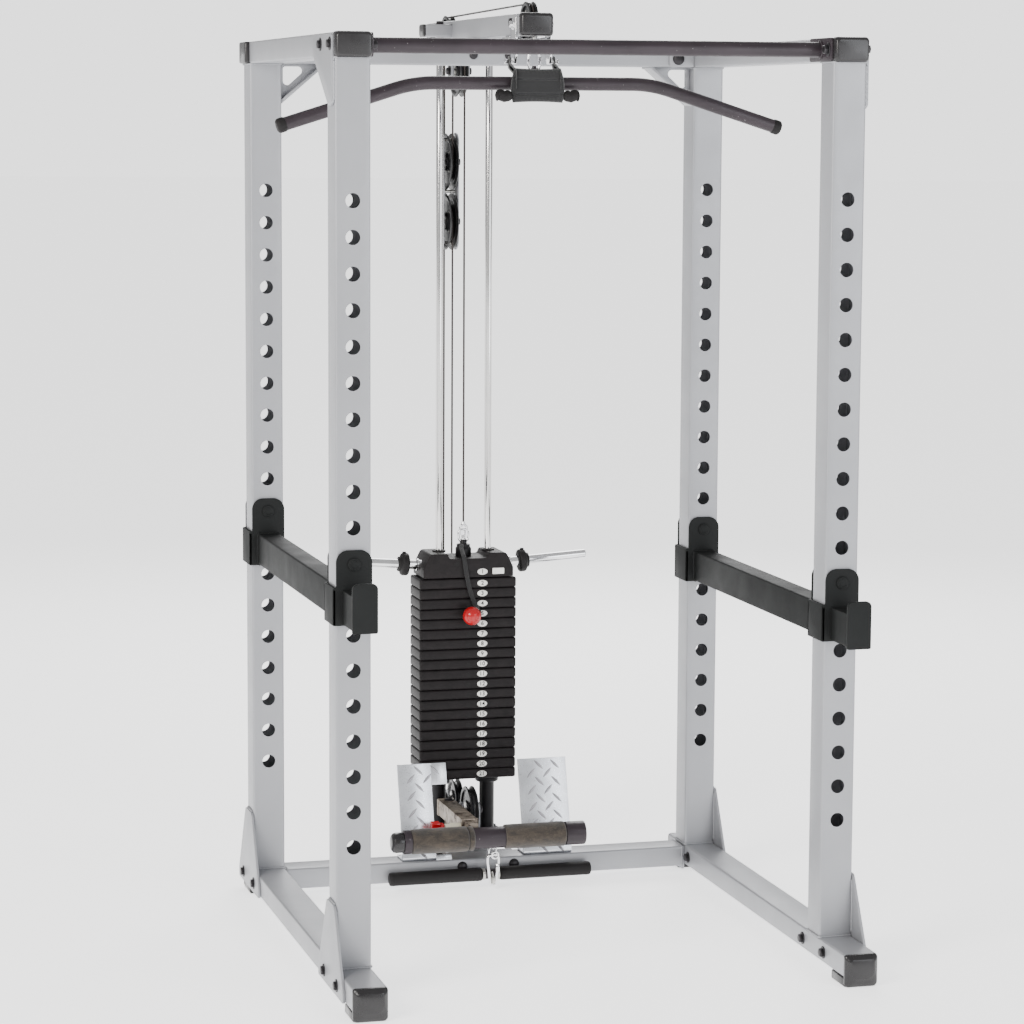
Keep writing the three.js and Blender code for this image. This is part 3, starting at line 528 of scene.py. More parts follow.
def powder_coat(name, colour, metallic, rough, flake, peel, coat=0.1, shine=0.5):
    """Powder coat: fine flakes, slow cloudiness, dust in places, and an orange-peel bump."""
    n = Nodes(name)
    clouds = n.ramp(n.noise(3.2, 4), [(0.3, shade(colour, 0.94)), (0.7, shade(colour, 1.05))])
    grain = n.ramp(n.noise(2600, 2), [(0.35, 1 - flake), (0.65, 1.0)])
    tint = n.mix(1.0, clouds, grain, "MULTIPLY")
    scuff = n.ramp(n.noise(26, 8, 0.7, (1, 1, 0.35), 0.6), [(0.66, 0.0), (0.76, 1.0)])
    tint = n.mix(n.math("MULTIPLY", scuff, 0.22), tint, shade(colour, 0.72))
    gloss = n.ramp(n.noise(14, 5), [(0.25, rough - 0.05), (0.75, rough + 0.07)])
    surface = n.bump(n.noise(900, 2), peel, 0.00012)
    surface = n.bump(n.noise(120, 3), peel * 0.6, 0.0002, surface)
    return n.done(tint, gloss, surface, Metallic=metallic, Coat_Weight=coat, Coat_Roughness=0.25,
                  Specular_IOR_Level=shine)


def bar_paint(name, colour, rough):
    """Satin paint worn in fine streaks along the bar, with small bright nicks."""
    n = Nodes(name)
    base = n.ramp(n.noise(9, 5), [(0.3, shade(colour, 0.75)), (0.72, shade(colour, 1.35))])
    streak = n.ramp(n.noise(160, 4, 0.6, (0.06, 1, 1)), [(0.45, 0.0), (0.8, 1.0)])
    base = n.mix(n.math("MULTIPLY", streak, 0.35), base, shade(colour, 2.0))
    nick = n.ramp(n.noise(210, 2, 0.5, (1, 1, 1), 0.4), [(0.735, 0.0), (0.75, 1.0)])
    base = n.mix(n.math("MULTIPLY", nick, 0.6), base, (0.28, 0.27, 0.27))
    gloss = n.ramp(n.noise(30, 5), [(0.3, rough - 0.06), (0.7, rough + 0.12)])
    surface = n.bump(n.noise(1100, 2), 0.25, 0.0001)
    return n.done(base, gloss, n.bump(streak, 0.12, 0.0001, surface), Metallic=0.1,
                  Specular_IOR_Level=0.4)


def bright_chrome(name, rough=0.06, tint=(0.86, 0.86, 0.87)):
    """Chrome with faint wiping marks, small pits and a film of grease."""
    n = Nodes(name)
    film = n.noise(18, 6, 0.6, (1, 1, 0.2), 0.8)
    colour = n.ramp(film, [(0.3, shade(tint, 0.82)), (0.6, tint)])
    wipe = n.noise(420, 3, 0.6, (1, 1, 0.03))
    gloss = n.math("ADD", n.math("MULTIPLY", wipe, 0.09), n.math("MULTIPLY", film, rough))
    pits = n.ramp(n.noise(900, 1), [(0.2, 0.0), (0.3, 1.0)])
    return n.done(colour, gloss, n.bump(pits, 0.06, 0.00005), Metallic=1.0)


def painted_iron(name, colour):
    """Cast iron under thick paint: sandy bump, painted shade in the hollows of the lumps, greyer
    rubbed places.
    """
    n = Nodes(name)
    sand = n.noise(520, 6, 0.65)
    lumps = n.noise(60, 4)
    # painted shade: the lumps that raise the bump also darken the colour in their hollows and
    # lighten it on their tops
    base = n.ramp(lumps, [(0.3, shade(colour, 0.7)), (0.7, shade(colour, 1.5))])
    rub = n.ramp(n.noise(34, 8, 0.75, (1, 1, 3.0), 1.2), [(0.62, 0.0), (0.74, 1.0)])
    base = n.mix(n.math("MULTIPLY", rub, 0.4), base, shade(colour, 3.2))
    gloss = n.ramp(sand, [(0.3, 0.42), (0.7, 0.62)])
    surface = n.bump(lumps, 0.35, 0.0006)
    return n.done(base, gloss, n.bump(sand, 0.5, 0.00022, surface), Specular_IOR_Level=0.22)


def moulded(name, colour, rough, grain=0.2, scale=1500, coat=0.0, shine=0.25):
    """Moulded plastic or rubber: fine mould grain, slow mottling, slightly uneven gloss."""
    n = Nodes(name)
    mottle = n.noise(24, 5)
    base = n.ramp(mottle, [(0.3, shade(colour, 0.85)), (0.7, shade(colour, 1.2))])
    dust = n.ramp(n.noise(70, 7, 0.7), [(0.6, 0.0), (0.85, 1.0)])
    base = n.mix(n.math("MULTIPLY", dust, 0.02), base, (0.35, 0.34, 0.33))
    gloss = n.ramp(mottle, [(0.3, max(rough - 0.05, 0.02)), (0.7, rough + 0.08)])
    return n.done(base, gloss, n.bump(n.noise(scale, 3), grain, 0.0001), Coat_Weight=coat,
                  Coat_Roughness=0.1, Specular_IOR_Level=shine)


def closed_foam(name, colour):
    """Closed-cell foam: cells, creases round the roller and rubbed patches."""
    n = Nodes(name)
    cells = n.add("ShaderNodeTexVoronoi", {"Vector": n.where, "Scale": 700}).outputs["Distance"]
    patch = n.ramp(n.noise(46, 9, 0.75, (0.5, 1, 1), 0.5), [(0.42, 0.0), (0.62, 1.0)])
    base = n.mix(patch, shade(colour, 0.45), shade(colour, 1.7))
    speck = n.ramp(n.noise(330, 4), [(0.55, 0.0), (0.7, 1.0)])
    base = n.mix(n.math("MULTIPLY", speck, 0.45), base, shade(colour, 3.4))
    surface = n.bump(n.noise(90, 6, 0.6), 0.5, 0.0012)
    surface = n.bump(cells, 0.5, 0.0004, surface)
    return n.done(base, 0.93, surface, Sheen_Weight=0.25, Sheen_Roughness=0.6)


def woven_strap(name, colour, pitch=0.0016):
    """Webbing: warp and weft as two crossed waves that go over and under each other; the waves also
    paint the colour lighter on raised threads and darker between them (painted highlight and
    painted shade).
    """
    n = Nodes(name)
    space = n.add("ShaderNodeSeparateXYZ", {"Vector": n.where})
    x, y, z = space.outputs
    along = n.math("ADD", z, n.math("MULTIPLY", y, 0.8))
    turns = 2 * math.pi / pitch
    warp = n.math("SINE", n.math("MULTIPLY", x, turns))
    weft = n.math("SINE", n.math("MULTIPLY", along, turns))
    weave = n.math("MULTIPLY", warp, weft)
    # painted highlight and painted shade: the weave's height makes the colour lighter where threads
    # rise and darker where they sink
    base = n.ramp(n.math("ADD", n.math("MULTIPLY", weave, 0.5), 0.5),
                  [(0.2, shade(colour, 0.6)), (0.8, shade(colour, 1.7))])
    lint = n.ramp(n.noise(300, 6, 0.7), [(0.62, 0.0), (0.75, 1.0)])
    base = n.mix(n.math("MULTIPLY", lint, 0.2), base, shade(colour, 6.0))
    surface = n.bump(weave, 0.55, 0.0004)
    return n.done(base, 0.88, n.bump(n.noise(60, 4), 0.3, 0.001, surface), Sheen_Weight=0.35,
                  Sheen_Roughness=0.5)


def rolled_metal(name, colour, rough, metallic=1.0, grain=(1, 1, 1)):
    """Bare or plated metal: streaks of rolling, dull patches and light scratches."""
    n = Nodes(name)
    streak = n.noise(240, 4, 0.6, grain)
    patch = n.noise(22, 6, 0.6)
    base = n.ramp(patch, [(0.3, shade(colour, 0.82)), (0.7, shade(colour, 1.06))])
    scratch = n.ramp(n.noise(90, 3, 0.5, (1, 1, 0.08), 0.8), [(0.49, 0.0), (0.5, 1.0), (0.51, 0.0)])
    base = n.mix(n.math("MULTIPLY", scratch, 0.3), base, shade(colour, 0.6))
    gloss = n.math("ADD", n.math("MULTIPLY", streak, 0.2), rough - 0.1)
    return n.done(base, gloss, n.bump(streak, 0.1, 0.0001), Metallic=metallic)


def aged_steel(name, light, dark):
    """Old plated steel gone beige and brown in blotches."""
    n = Nodes(name)
    blotch = n.noise(38, 8, 0.7, (1, 1, 1), 0.8)
    base = n.ramp(blotch, [(0.38, dark), (0.5, shade(light, 0.7)), (0.66, light)])
    gloss = n.ramp(blotch, [(0.35, 0.6), (0.7, 0.38)])
    return n.done(base, gloss, n.bump(n.noise(260, 5), 0.4, 0.0003), Metallic=0.55)


def make_finishes():
    """Every finish that the pieces use."""
    c = bpy.context.scene.power_cage_colours
    F = FINISHES
    F["silver"] = powder_coat("Silver powder coat", tuple(c.silver), 0.38, 0.42, 0.16, 0.3)
    F["weld"] = powder_coat("Painted weld", shade(tuple(c.silver), 0.92), 0.38, 0.48, 0.1, 0.4)
    F["black"] = powder_coat("Black powder coat", tuple(c.black), 0.0, 0.6, 0.12, 0.35, 0.0, 0.2)
    F["bar"] = bar_paint("Round bar paint", tuple(c.bar), 0.4)
    F["chrome"] = bright_chrome("Chrome")
    F["rod"] = bright_chrome("Guide rod chrome", 0.1, (0.78, 0.77, 0.76))
    F["iron"] = painted_iron("Weight plate paint", tuple(c.iron))
    F["cap"] = moulded("End cap plastic", (0.0125, 0.0115, 0.0125), 0.26, 0.08, 900, 0.05, 0.45)
    F["rubber"] = moulded("Black rubber", (0.0085, 0.0075, 0.0078), 0.6, 0.4)
    F["nylon"] = moulded("Pulley nylon", (0.014, 0.014, 0.015), 0.3, 0.15, 1200, 0.1)
    F["jacket"] = moulded("Cable jacket", (0.028, 0.022, 0.02), 0.35, 0.1, 2200, 0.15)
    F["red"] = moulded("Red knob plastic", tuple(c.red), 0.2, 0.1, 800, 0.5)
    F["cream"] = moulded("Cream barrel", (0.62, 0.58, 0.46), 0.45, 0.2)
    F["label"] = moulded("White label", (0.82, 0.81, 0.77), 0.4, 0.1)
    F["ink"] = moulded("Black ink", (0.01, 0.01, 0.011), 0.5, 0.1)
    F["foam"] = closed_foam("Roller foam", tuple(c.foam))
    F["strap"] = woven_strap("Strap webbing", (0.0048, 0.0048, 0.0055))
    F["thread"] = moulded("Stitching", (0.05, 0.05, 0.055), 0.8, 0.6, 3000)
    F["tread"] = rolled_metal("Bright tread plate", (0.80, 0.82, 0.86), 0.3, 0.9)
    # painted shade: the tread bars get a darker copy of the plate's metal, standing in for the
    # shade on them
    F["tread_bar"] = rolled_metal("Tread plate bars painted shade", (0.42, 0.41, 0.43), 0.34, 0.95)
    F["bolt"] = rolled_metal("Blackened bolt", (0.035, 0.033, 0.036), 0.42, 0.7)
    F["zinc"] = rolled_metal("Zinc plate", (0.62, 0.61, 0.58), 0.34, 1.0)
    F["aged"] = aged_steel("Aged plate", (0.40, 0.34, 0.28), (0.07, 0.05, 0.04))
    F["sleeve"] = moulded("Rod sleeve", (0.008, 0.0075, 0.0085), 0.38, 0.2)


# ------------------------------------------------------------------ cage
SIDES = (("left", -1), ("right", 1))
POSTS = (("fl", -1, 0.0), ("fr", 1, 0.0), ("rl", -1, REAR_Y), ("rr", 1, REAR_Y))


def post_shell(side, y0, z0, z1, corner):
    """Outside of a square tube with rows of round holes through front and back. The section
    goes round the tube, rows go up it, and each hole is a ring from a square of the grid to a
    circle."""
    s = Shape()
    flat = POST / 2 - corner
    line = np.linspace(-flat, flat, CELLS + 1)
    arc = np.radians(np.linspace(0, 90, 5))[1:-1]
    short = np.array([-flat, 0, flat])
    front = np.stack([line, np.full(CELLS + 1, -HALF)], 1)
    right = np.stack([np.full(3, HALF), short], 1)
    corners = [np.stack([flat + corner * np.sin(arc), -flat - corner * np.cos(arc)], 1),
               np.stack([flat + corner * np.cos(arc), flat + corner * np.sin(arc)], 1)]
    half = np.concatenate([front, corners[0], right, corners[1]])
    section = np.concatenate([half, -half])
    low = HOLE_LOW - HOLE_PITCH / 2
    rows = low + np.arange(CELLS * HOLE_COUNT + 1) * HOLE_PITCH / CELLS
    z = np.concatenate([np.linspace(z0, low, CELLS + 1)[:-1], rows,
                        np.linspace(rows[-1], z1, CELLS + 1)[1:]])
    nu, nz = len(section), len(z)
    cx, cy = side * POST_X, y0 + HALF
    grid = np.zeros((nz, nu, 3))
    grid[..., 0] = cx + section[:, 0]
    grid[..., 1] = cy + section[:, 1]
    grid[..., 2] = z[:, None]
    quads = grid_faces(nu, nz, True)
    column, row = quads[:, 0] % nu, quads[:, 0] // nu
    holed = (row >= CELLS) & (row < CELLS + CELLS * HOLE_COUNT)
    back = len(half)
    holed &= ((column < CELLS) | ((column >= back) & (column < back + CELLS)))
    faces = [quads[~holed]]
    steps, none, full = np.arange(CELLS), np.zeros(CELLS, dtype=int), np.full(CELLS, CELLS)
    ring_u = np.concatenate([steps, full, CELLS - steps, none])
    ring_v = np.concatenate([none, steps, full, CELLS - steps])
    around = len(ring_u)
    angle = np.radians(-135 + np.arange(around) * 360 / around)
    extra = []
    for first, sign, y in ((0, 1, y0), (back, -1, y0 + POST)):
        k = np.arange(HOLE_COUNT)
        outer = (CELLS + CELLS * k[:, None] + ring_v) * nu + first + ring_u
        circle_points = np.zeros((HOLE_COUNT, around, 3))
        circle_points[..., 0] = cx + sign * HOLE_R * np.cos(angle)
        circle_points[..., 1] = y
        circle_points[..., 2] = (HOLE_LOW + k * HOLE_PITCH)[:, None] + HOLE_R * np.sin(angle)
        start = nz * nu + sum(len(e) for e in extra)
        inner = start + k[:, None] * around + np.arange(around)
        extra.append(circle_points.reshape(-1, 3))
        faces.append(np.stack([outer, np.roll(outer, -1, 1), np.roll(inner, -1, 1), inner],
                              -1).reshape(-1, 4))
    s.add(np.concatenate([grid.reshape(-1, 3)] + extra), faces)
    return s


def gusset_outline(cy):
    """Base gusset: a foot with short upright ends, then sloping sides up to the post."""
    low, top, wide = span("upright_fl")[0][2], 213.0, 125.0
    corners = [(cy - wide, low), (cy + wide, low), (cy + wide, low + 24), (cy + HALF - 2, top),
               (cy - HALF + 2, top), (cy - wide, low + 24)]
    return rounded_outline(corners, [5, 5, 8, 14, 14, 8])


def build_posts():
    """Four posts with their gussets and welds."""
    k = sizes()
    z0, z1 = BASE_TOP + GAP, ROOF_LOW - GAP
    for tag, side, y0 in POSTS:
        shell = post_shell(side, y0, z0, z1, k["tube_corner"])
        put_mesh("post_" + tag, shell, FINISHES["silver"], "cage", solid=3.2,
                 smooth=30, replaces=("upright_" + tag,), recalc=False)
        a, b = sorted((side * (OUTER_X + GAP), side * (OUTER_X + GAP + PLATE_T)))
        cy = y0 + HALF
        plates = Shape()
        prism(plates, gusset_outline(cy), 0, a, b)
        if y0 == 0.0:
            low, back = ROOF_TOP - 152, 194.0
            corners = [(3, low + 8), (14, low), (HALF, low), (back, ROOF_LOW + 6),
                       (back, ROOF_TOP - 4), (3, ROOF_TOP - 4)]
            prism(plates, rounded_outline(corners, [6, 6, 10, 14, 4, 4]), 0, a, b)
        put_mesh("gussets_" + tag, plates, FINISHES["silver"], "cage",
                 bevel=k["edge"])
        beads = Shape()
        r, x = k["weld"], side * (OUTER_X + 1.0)
        top = 213.0
        for y in (y0 + 1.5, y0 + POST - 1.5):
            weld_bead(beads, [(x, y, BASE_TOP + 6), (x, y, top - 12)], r, (1, 0, 0))
        weld_bead(beads, [(x, y0 + 10, top + 1), (x, y0 + POST - 10, top + 1)], r)
        loop = closed(rounded_rect(POST + 2, POST + 2, k["tube_corner"], 4))
        for z in (z0 + 1, z1 - 1):
            ring = np.column_stack([side * POST_X + loop[:, 0], cy + loop[:, 1],
                                    np.full(len(loop), z)])
            weld_bead(beads, ring, r * 0.8)
        if y0 == 0.0:
            weld_bead(beads, [(x, 4, ROOF_TOP - 140), (x, 4, ROOF_LOW - 8)], r, (1, 0, 0))
            weld_bead(beads, [(x, POST - 1, ROOF_LOW - 74), (x, POST - 1, ROOF_LOW - 6)], r,
                      (1, 0, 0))
        put_mesh("post_welds_" + tag, beads, FINISHES["weld"], "cage", smooth=180)


def cap_loft(shape, w, h, base, depth, direction, axis_mid, corner, edge, wall=4.0):
    """A moulded end cap along Y: a straight skirt, then each section shrinks as a quarter
    ellipse while it moves outwards, so the face is domed."""
    t = np.linspace(0, np.pi / 2, 7)
    out = np.concatenate([[0.0], wall + (depth - wall) * np.sin(t)])
    inset = np.concatenate([[0.0], edge * (1 - np.cos(t))])
    path = np.column_stack([np.full(8, axis_mid[0]), base + direction * out,
                            np.full(8, axis_mid[1])])
    scale = np.column_stack([(w / 2 - inset) / (w / 2), (h / 2 - inset) / (h / 2)])
    return sweep(shape, path, rounded_rect(w, h, corner, 6), (0, 0, 1), scale)


def foot_loft(shape, x, y, way):
    """A boot for the end of a base tube: a straight skirt, a rounded lip, then a slope in to a
    smaller shield that has its lower corners cut well back."""
    def ring(w, low, high, top, base, out):
        corners = [(x - w, low), (x + w, low), (x + w, high), (x - w, high)]
        flat = rounded_outline(corners, [base, base, top, top], 9)
        return np.column_stack([flat[:, 0], np.full(len(flat), y + way * out), flat[:, 1]])

    top = BASE_TOP
    rings = [ring(38.2, 0, top, 7, 9, 0.3), ring(38.2, 0, top, 7, 9, 5),
             ring(37.4, 0.8, top - 1, 9, 11, 8), ring(36, 2.2, top - 2.4, 10, 13, 9.5),
             ring(33, 10, top - 6, 8, 18, 12.5), ring(29, 19, top - 9, 7, 20, 16),
             ring(27, 21, top - 11, 6, 19, 17.2)]
    n = len(rings[0])
    start = shape.count
    shape.add(np.concatenate(rings), [grid_faces(n, len(rings), True)])
    shape.faces.append(list(range(start, start + n))[::-1])
    last = start + n * (len(rings) - 1)
    shape.faces.append(list(range(last, last + n)))


def build_base_and_roof():
    """Base tubes, top tubes and their end caps."""
    k = sizes()
    section = rounded_rect(POST, BASE_TOP - BASE_LOW, k["tube_corner"])
    roof_h = ROOF_TOP - ROOF_LOW
    for tag, side in SIDES:
        x = side * POST_X
        base = Shape()
        zm = (BASE_LOW + BASE_TOP) / 2
        sweep(base, [(x, BASE_FRONT, zm), (x, BASE_REAR, zm)], section)
        put_mesh("base_rail_" + tag, base, FINISHES["silver"], "cage",
                 replaces=("base_tube_" + tag,))
        roof = Shape()
        zm = (ROOF_LOW + ROOF_TOP) / 2
        sweep(roof, [(x, 0.5, zm), (x, ROOF_REAR - 0.5, zm)],
              rounded_rect(POST, roof_h, k["tube_corner"]))
        put_mesh("roof_rail_" + tag, roof, FINISHES["silver"], "cage",
                 replaces=("top_tube_" + tag,))
        caps = Shape()
        cap_loft(caps, POST + 4, roof_h + 4, 1.0, 17.0, -1, (x, zm), 9, 7)
        cap_loft(caps, POST + 2, roof_h + 2, ROOF_REAR - 1, 14.0, 1, (x, zm), 9, 6)
        sweep(caps, [(x, 12, zm), (x, -2, zm)], rounded_rect(POST + 3, roof_h + 3, 6))
        t = np.linspace(0, np.pi / 2, 6)
        out = side * (OUTER_X + np.concatenate([[0], 2 + 9 * np.sin(t)]))
        shrink = 1 - 0.09 * (1 - np.cos(np.concatenate([[0], t])))
        path = np.column_stack([out, np.full(7, REAR_Y + HALF), np.full(7, zm)])
        sweep(caps, path, rounded_rect(POST, roof_h, 5), (0, 0, 1),
              np.column_stack([shrink, shrink]))
        put_mesh("roof_caps_" + tag, caps, FINISHES["cap"], "cage", bevel=0.8)
    for tag, side, y, way in (("fl", -1, BASE_FRONT, -1), ("fr", 1, BASE_FRONT, -1),
                              ("rl", -1, BASE_REAR, 1), ("rr", 1, BASE_REAR, 1)):
        x = side * POST_X
        foot = Shape()
        foot_loft(foot, x, y, way)
        a, b = sorted((y + way * 1.0, y - way * 73.5))
        sweep(foot, [(x, a, BASE_LOW / 2), (x, b, BASE_LOW / 2)],
              rounded_rect(POST - 0.6, BASE_LOW - 0.4, 4, 5))
        put_mesh("foot_cap_" + tag, foot, FINISHES["cap"], "cage",
                 replaces=("foot_" + tag,), bevel=0.6)


def flange_box(shape, side, y0, y1, z0, z1, corner=6):
    """A bolted end plate inside a rail, with rounded corners."""
    a, b = sorted((side * (INNER_X - GAP), side * (INNER_X - GAP - PLATE_T)))
    outline = rounded_outline([(y0, z0), (y1, z0), (y1, z1), (y0, z1)], [corner] * 4)
    return prism(shape, outline, 0, a, b)


def build_cross_tubes():
    """Upper and lower cross tubes with end plates, corner braces and welds."""
    k = sizes()
    y0, y1 = REAR_Y, REAR_Y + POST
    ym = (y0 + y1) / 2
    end = INNER_X - 5.5
    for name, node, z0, z1 in (("cross_tube_top", "crossmember_top", ROOF_LOW, ROOF_TOP),
                               ("cross_tube_low", "crossmember_bottom", CROSS_LOW, CROSS_TOP)):
        s = Shape()
        zm = (z0 + z1) / 2
        sweep(s, [(-end, ym, zm), (end, ym, zm)], rounded_rect(POST, z1 - z0, k["tube_corner"]))
        put_mesh(name, s, FINISHES["silver"], "cage", replaces=(node,))
        plates, beads = Shape(), Shape()
        for side in (-1, 1):
            low = z0 if node == "crossmember_top" else z0 - 8
            flange_box(plates, side, y0 + 0.5, y1 - 0.5, low, z1, 5)
            loop = closed(rounded_rect(POST - 1, z1 - z0 - 1, k["tube_corner"], 4))
            ring = np.column_stack([np.full(len(loop), side * (end - 1.5)), ym + loop[:, 0],
                                    zm + loop[:, 1]])
            weld_bead(beads, ring, k["weld"] * 0.8, (1, 0, 0))
            if node == "crossmember_top":
                e, drop, run = side * (INNER_X - GAP), 92.0, 108.0
                brace_web(plates, e, side, z0, drop, run, y0 + 30, y0 + 36)
                band = [(e - side * (run + 2), z0), (e - side * (run - 8), z0),
                        (e, z0 - drop + 8), (e, z0 - drop - 2)]
                prism(plates, band, 1, y0 + 6, y1 - 6)
                weld_bead(beads, [(e - side * run, y0 + 8, z0 - 1),
                                  (e - side * run, y1 - 8, z0 - 1)], k["weld"])
        put_mesh(name + "_plates", plates, FINISHES["silver"], "cage",
                 bevel=k["edge"])
        put_mesh(name + "_welds", beads, FINISHES["weld"], "cage", smooth=180)


def brace_web(shape, e, side, z0, drop, run, y0, y1):
    """Corner web with one opening: a quarter disc whose corners are rounded."""
    outer = [(e, z0 + 1), (e - side * run, z0 + 1), (e, z0 - drop)]
    inset = rounded_outline([(e - side * 9, z0 - 6), (e - side * 72, z0 - 6),
                             (e - side * 9, z0 - 62)], [6, 10, 10], 9)
    if side < 0:
        outer, inset = outer[::-1], inset[::-1]
    prism_with_hole(shape, outer, inset, 1, y0, y1)


def build_chin_bar():
    """Chin-up bar on two bolted end plates."""
    k = sizes()
    low, high = span("chin_up_bar")
    y = (low[1] + high[1]) / 2
    z = (ROOF_LOW + ROOF_TOP) / 2
    bar = Shape()
    lathe(bar, [(16.5, -INNER_X + 5), (16.5, INNER_X - 5)], (0, y, z), 0, 40)
    put_mesh("chin_bar", bar, FINISHES["bar"], "cage", replaces=("chin_up_bar",))
    plates, beads = Shape(), Shape()
    for side in (-1, 1):
        flange_box(plates, side, low[1], high[1], ROOF_LOW, ROOF_TOP, 8)
        a = np.radians(np.linspace(0, 360, 40))
        ring = np.column_stack([np.full(40, side * (INNER_X - 7)), y + 17 * np.cos(a),
                                z + 17 * np.sin(a)])
        weld_bead(beads, ring, k["weld"], (1, 0, 0))
    put_mesh("chin_bar_plates", plates, FINISHES["bar"], "cage", bevel=k["edge"])
    put_mesh("chin_bar_welds", beads, FINISHES["bar"], "cage", smooth=180)


def build_bolts():
    """Frame bolts: gussets, base tubes, cross tubes, roof gussets and bar plates."""
    heads = Shape()
    x, inside = OUTER_X + GAP + PLATE_T, INNER_X - GAP - PLATE_T
    base_bolt_z, roof_bolt_z = 46, 2033
    for side in (-1, 1):
        for y0 in (0.0, REAR_Y):
            for dy in (-65, 65):
                bolt(heads, (side * x, y0 + HALF + dy, base_bolt_z), 0, side, 17, 5.5)
                bolt(heads, (side * (INNER_X - 0.2), y0 + HALF + dy, base_bolt_z), 0, -side, 17, 8)
        for y in (19, 113):
            bolt(heads, (side * x, y, roof_bolt_z), 0, side, 17, 5.5)
            bolt(heads, (side * inside, y, 2031.6), 0, -side, 18, 9)
        for y in (REAR_Y + 20, REAR_Y + 57):
            bolt(heads, (side * inside, y, (CROSS_LOW + CROSS_TOP) / 2), 0, -side, 16, 8)
            bolt(heads, (side * inside, y, (ROOF_LOW + ROOF_TOP) / 2), 0, -side, 16, 8)
        dome_bolt(heads, (side * 66, REAR_Y, 50), 1, -1, 12, 9)
        dome_bolt(heads, (side * 44, REAR_Y, 2031), 1, -1, 10, 7)
        dome_bolt(heads, (side * 470, REAR_Y - 5, 2026), 1, -1, 14, 9)
        bolt(heads, (side * 44, REAR_Y + POST + 8, 2031), 1, 1, 17, 8)
        bolt(heads, (side * 70, REAR_Y + POST + 8.3, 43), 1, 1, 17, 8)
    put_mesh("frame_bolts", heads, FINISHES["bolt"], "cage", bevel=0.5)
    tabs = Shape()
    for side in (-1, 1):
        a, b = sorted((side * 447, side * (INNER_X - 0.4)))
        outline = [(a, 2007), (b, 2007), (b, 2048), (a, 2048)]
        prism(tabs, rounded_outline(outline, [9, 3, 3, 9] if side > 0 else [3, 9, 9, 3]), 1,
              REAR_Y - 5, REAR_Y - 0.2)
    put_mesh("roof_tabs", tabs, FINISHES["silver"], "cage", bevel=0.8)


def build_safeties():
    """Two safety arms: brackets round the posts, tube between, hook in front with a lip."""
    k = sizes()
    for tag, side in SIDES:
        node = "safety_" + tag
        pz = span(node)[1][2] - 30.0
        cx = side * POST_X
        gap, t = 1.6, 6.0
        base, top = pz - 130.0, pz - 54.0
        left, right = cx - HALF - gap - t, cx + HALF + 1.0
        s, beads, pins = Shape(), Shape(), Shape()
        face = rounded_outline([(left, base), (right, base), (right, pz + 30), (left + 7, pz + 30),
                                (left + 7, top + 6), (left, top + 6)], [3, 3, 26, 26, 0, 6], 9)
        for y0 in (0.0, REAR_Y):
            prism(s, face, 1, y0 - gap - t, y0 - gap)
            prism(s, face, 1, y0 + POST + gap, y0 + POST + gap + t)
            wall = rounded_outline([(y0 - gap - t, base), (y0 + POST + gap + t, base),
                                    (y0 + POST + gap + t, top + 6), (y0 - gap - t, top + 6)],
                                   [2, 2, 6, 6])
            prism(s, wall, 0, left, left + t)
            for y, way in ((y0 - gap - t, -1), (y0 + POST + gap + t, 1)):
                lathe(pins, [(0, 0), (14, 0), (14, way * 3.2), (12.5, way * 4.4), (0, way * 4.4)],
                      (cx, y, pz), 1, 32)
                a = np.radians(np.linspace(30, 330, 30))
                ring = np.column_stack([cx + 9.2 * np.cos(a), np.full(30, y + way * 4.4),
                                        pz + 9.2 * np.sin(a)])
                weld_bead(beads, ring, 1.1, (0, 1, 0))
            lathe(pins, [(11.9, y0 - gap), (11.9, y0 + POST + gap)], (cx, 0, pz), 1, 24)
        w, h = 50.8, 74.0
        y0, y1 = POST + gap + t - 1, REAR_Y - gap - t + 1
        zm = top - h / 2
        sweep(s, [(cx, y0, zm), (cx, y1, zm)], rounded_rect(w, h, 4))
        front = -gap - t - 106.0
        box = rounded_outline([(front + 6, base + 3), (-gap - 3, base + 3), (-gap - 3, top),
                               (front + 6, top)], [2, 2, 2, 2])
        prism(s, box, 0, cx - w / 2, cx + w / 2)
        lip = rounded_outline([(cx - w / 2 - 2, base - 2), (cx + w / 2 + 2, base - 2),
                               (cx + w / 2 + 2, pz - 27), (cx - w / 2 - 2, pz - 27)],
                              [4, 4, 12, 12], 8)
        prism(s, lip, 1, front, front + 9)
        put_mesh("safety_arm_" + tag, s, FINISHES["black"], "safety_arm_" + tag,
                 bevel=1.3, segments=3, replaces=(node,))
        put_mesh("safety_pins_" + tag, pins, FINISHES["black"], "safety_arm_" + tag,
                 bevel=0.7)
        for y in (y0 + 1.5, y1 - 1.5):
            loop = closed(rounded_rect(w, h, 4, 4))
            ring = np.column_stack([cx + loop[:, 0], np.full(len(loop), y), zm + loop[:, 1]])
            weld_bead(beads, ring, k["weld"] * 0.9, (0, 1, 0))
        for x in (cx - w / 2, cx + w / 2):
            weld_bead(beads, [(x, -gap - t - 1, base + 6), (x, -gap - t - 1, top - 2)],
                      k["weld"] * 0.9)
        weld_bead(beads, [(cx - w / 2, front + 10, top), (cx + w / 2, front + 10, top)],
                  k["weld"] * 0.8)
        put_mesh("safety_welds_" + tag, beads, FINISHES["black"], "safety_arm_" + tag,
                 smooth=180)


# ------------------------------------------------------------------ cable station, top
def middle(node):
    """Middle of a frame node, in millimetres."""
    low, high = span(node)
    return (low + high) / 2


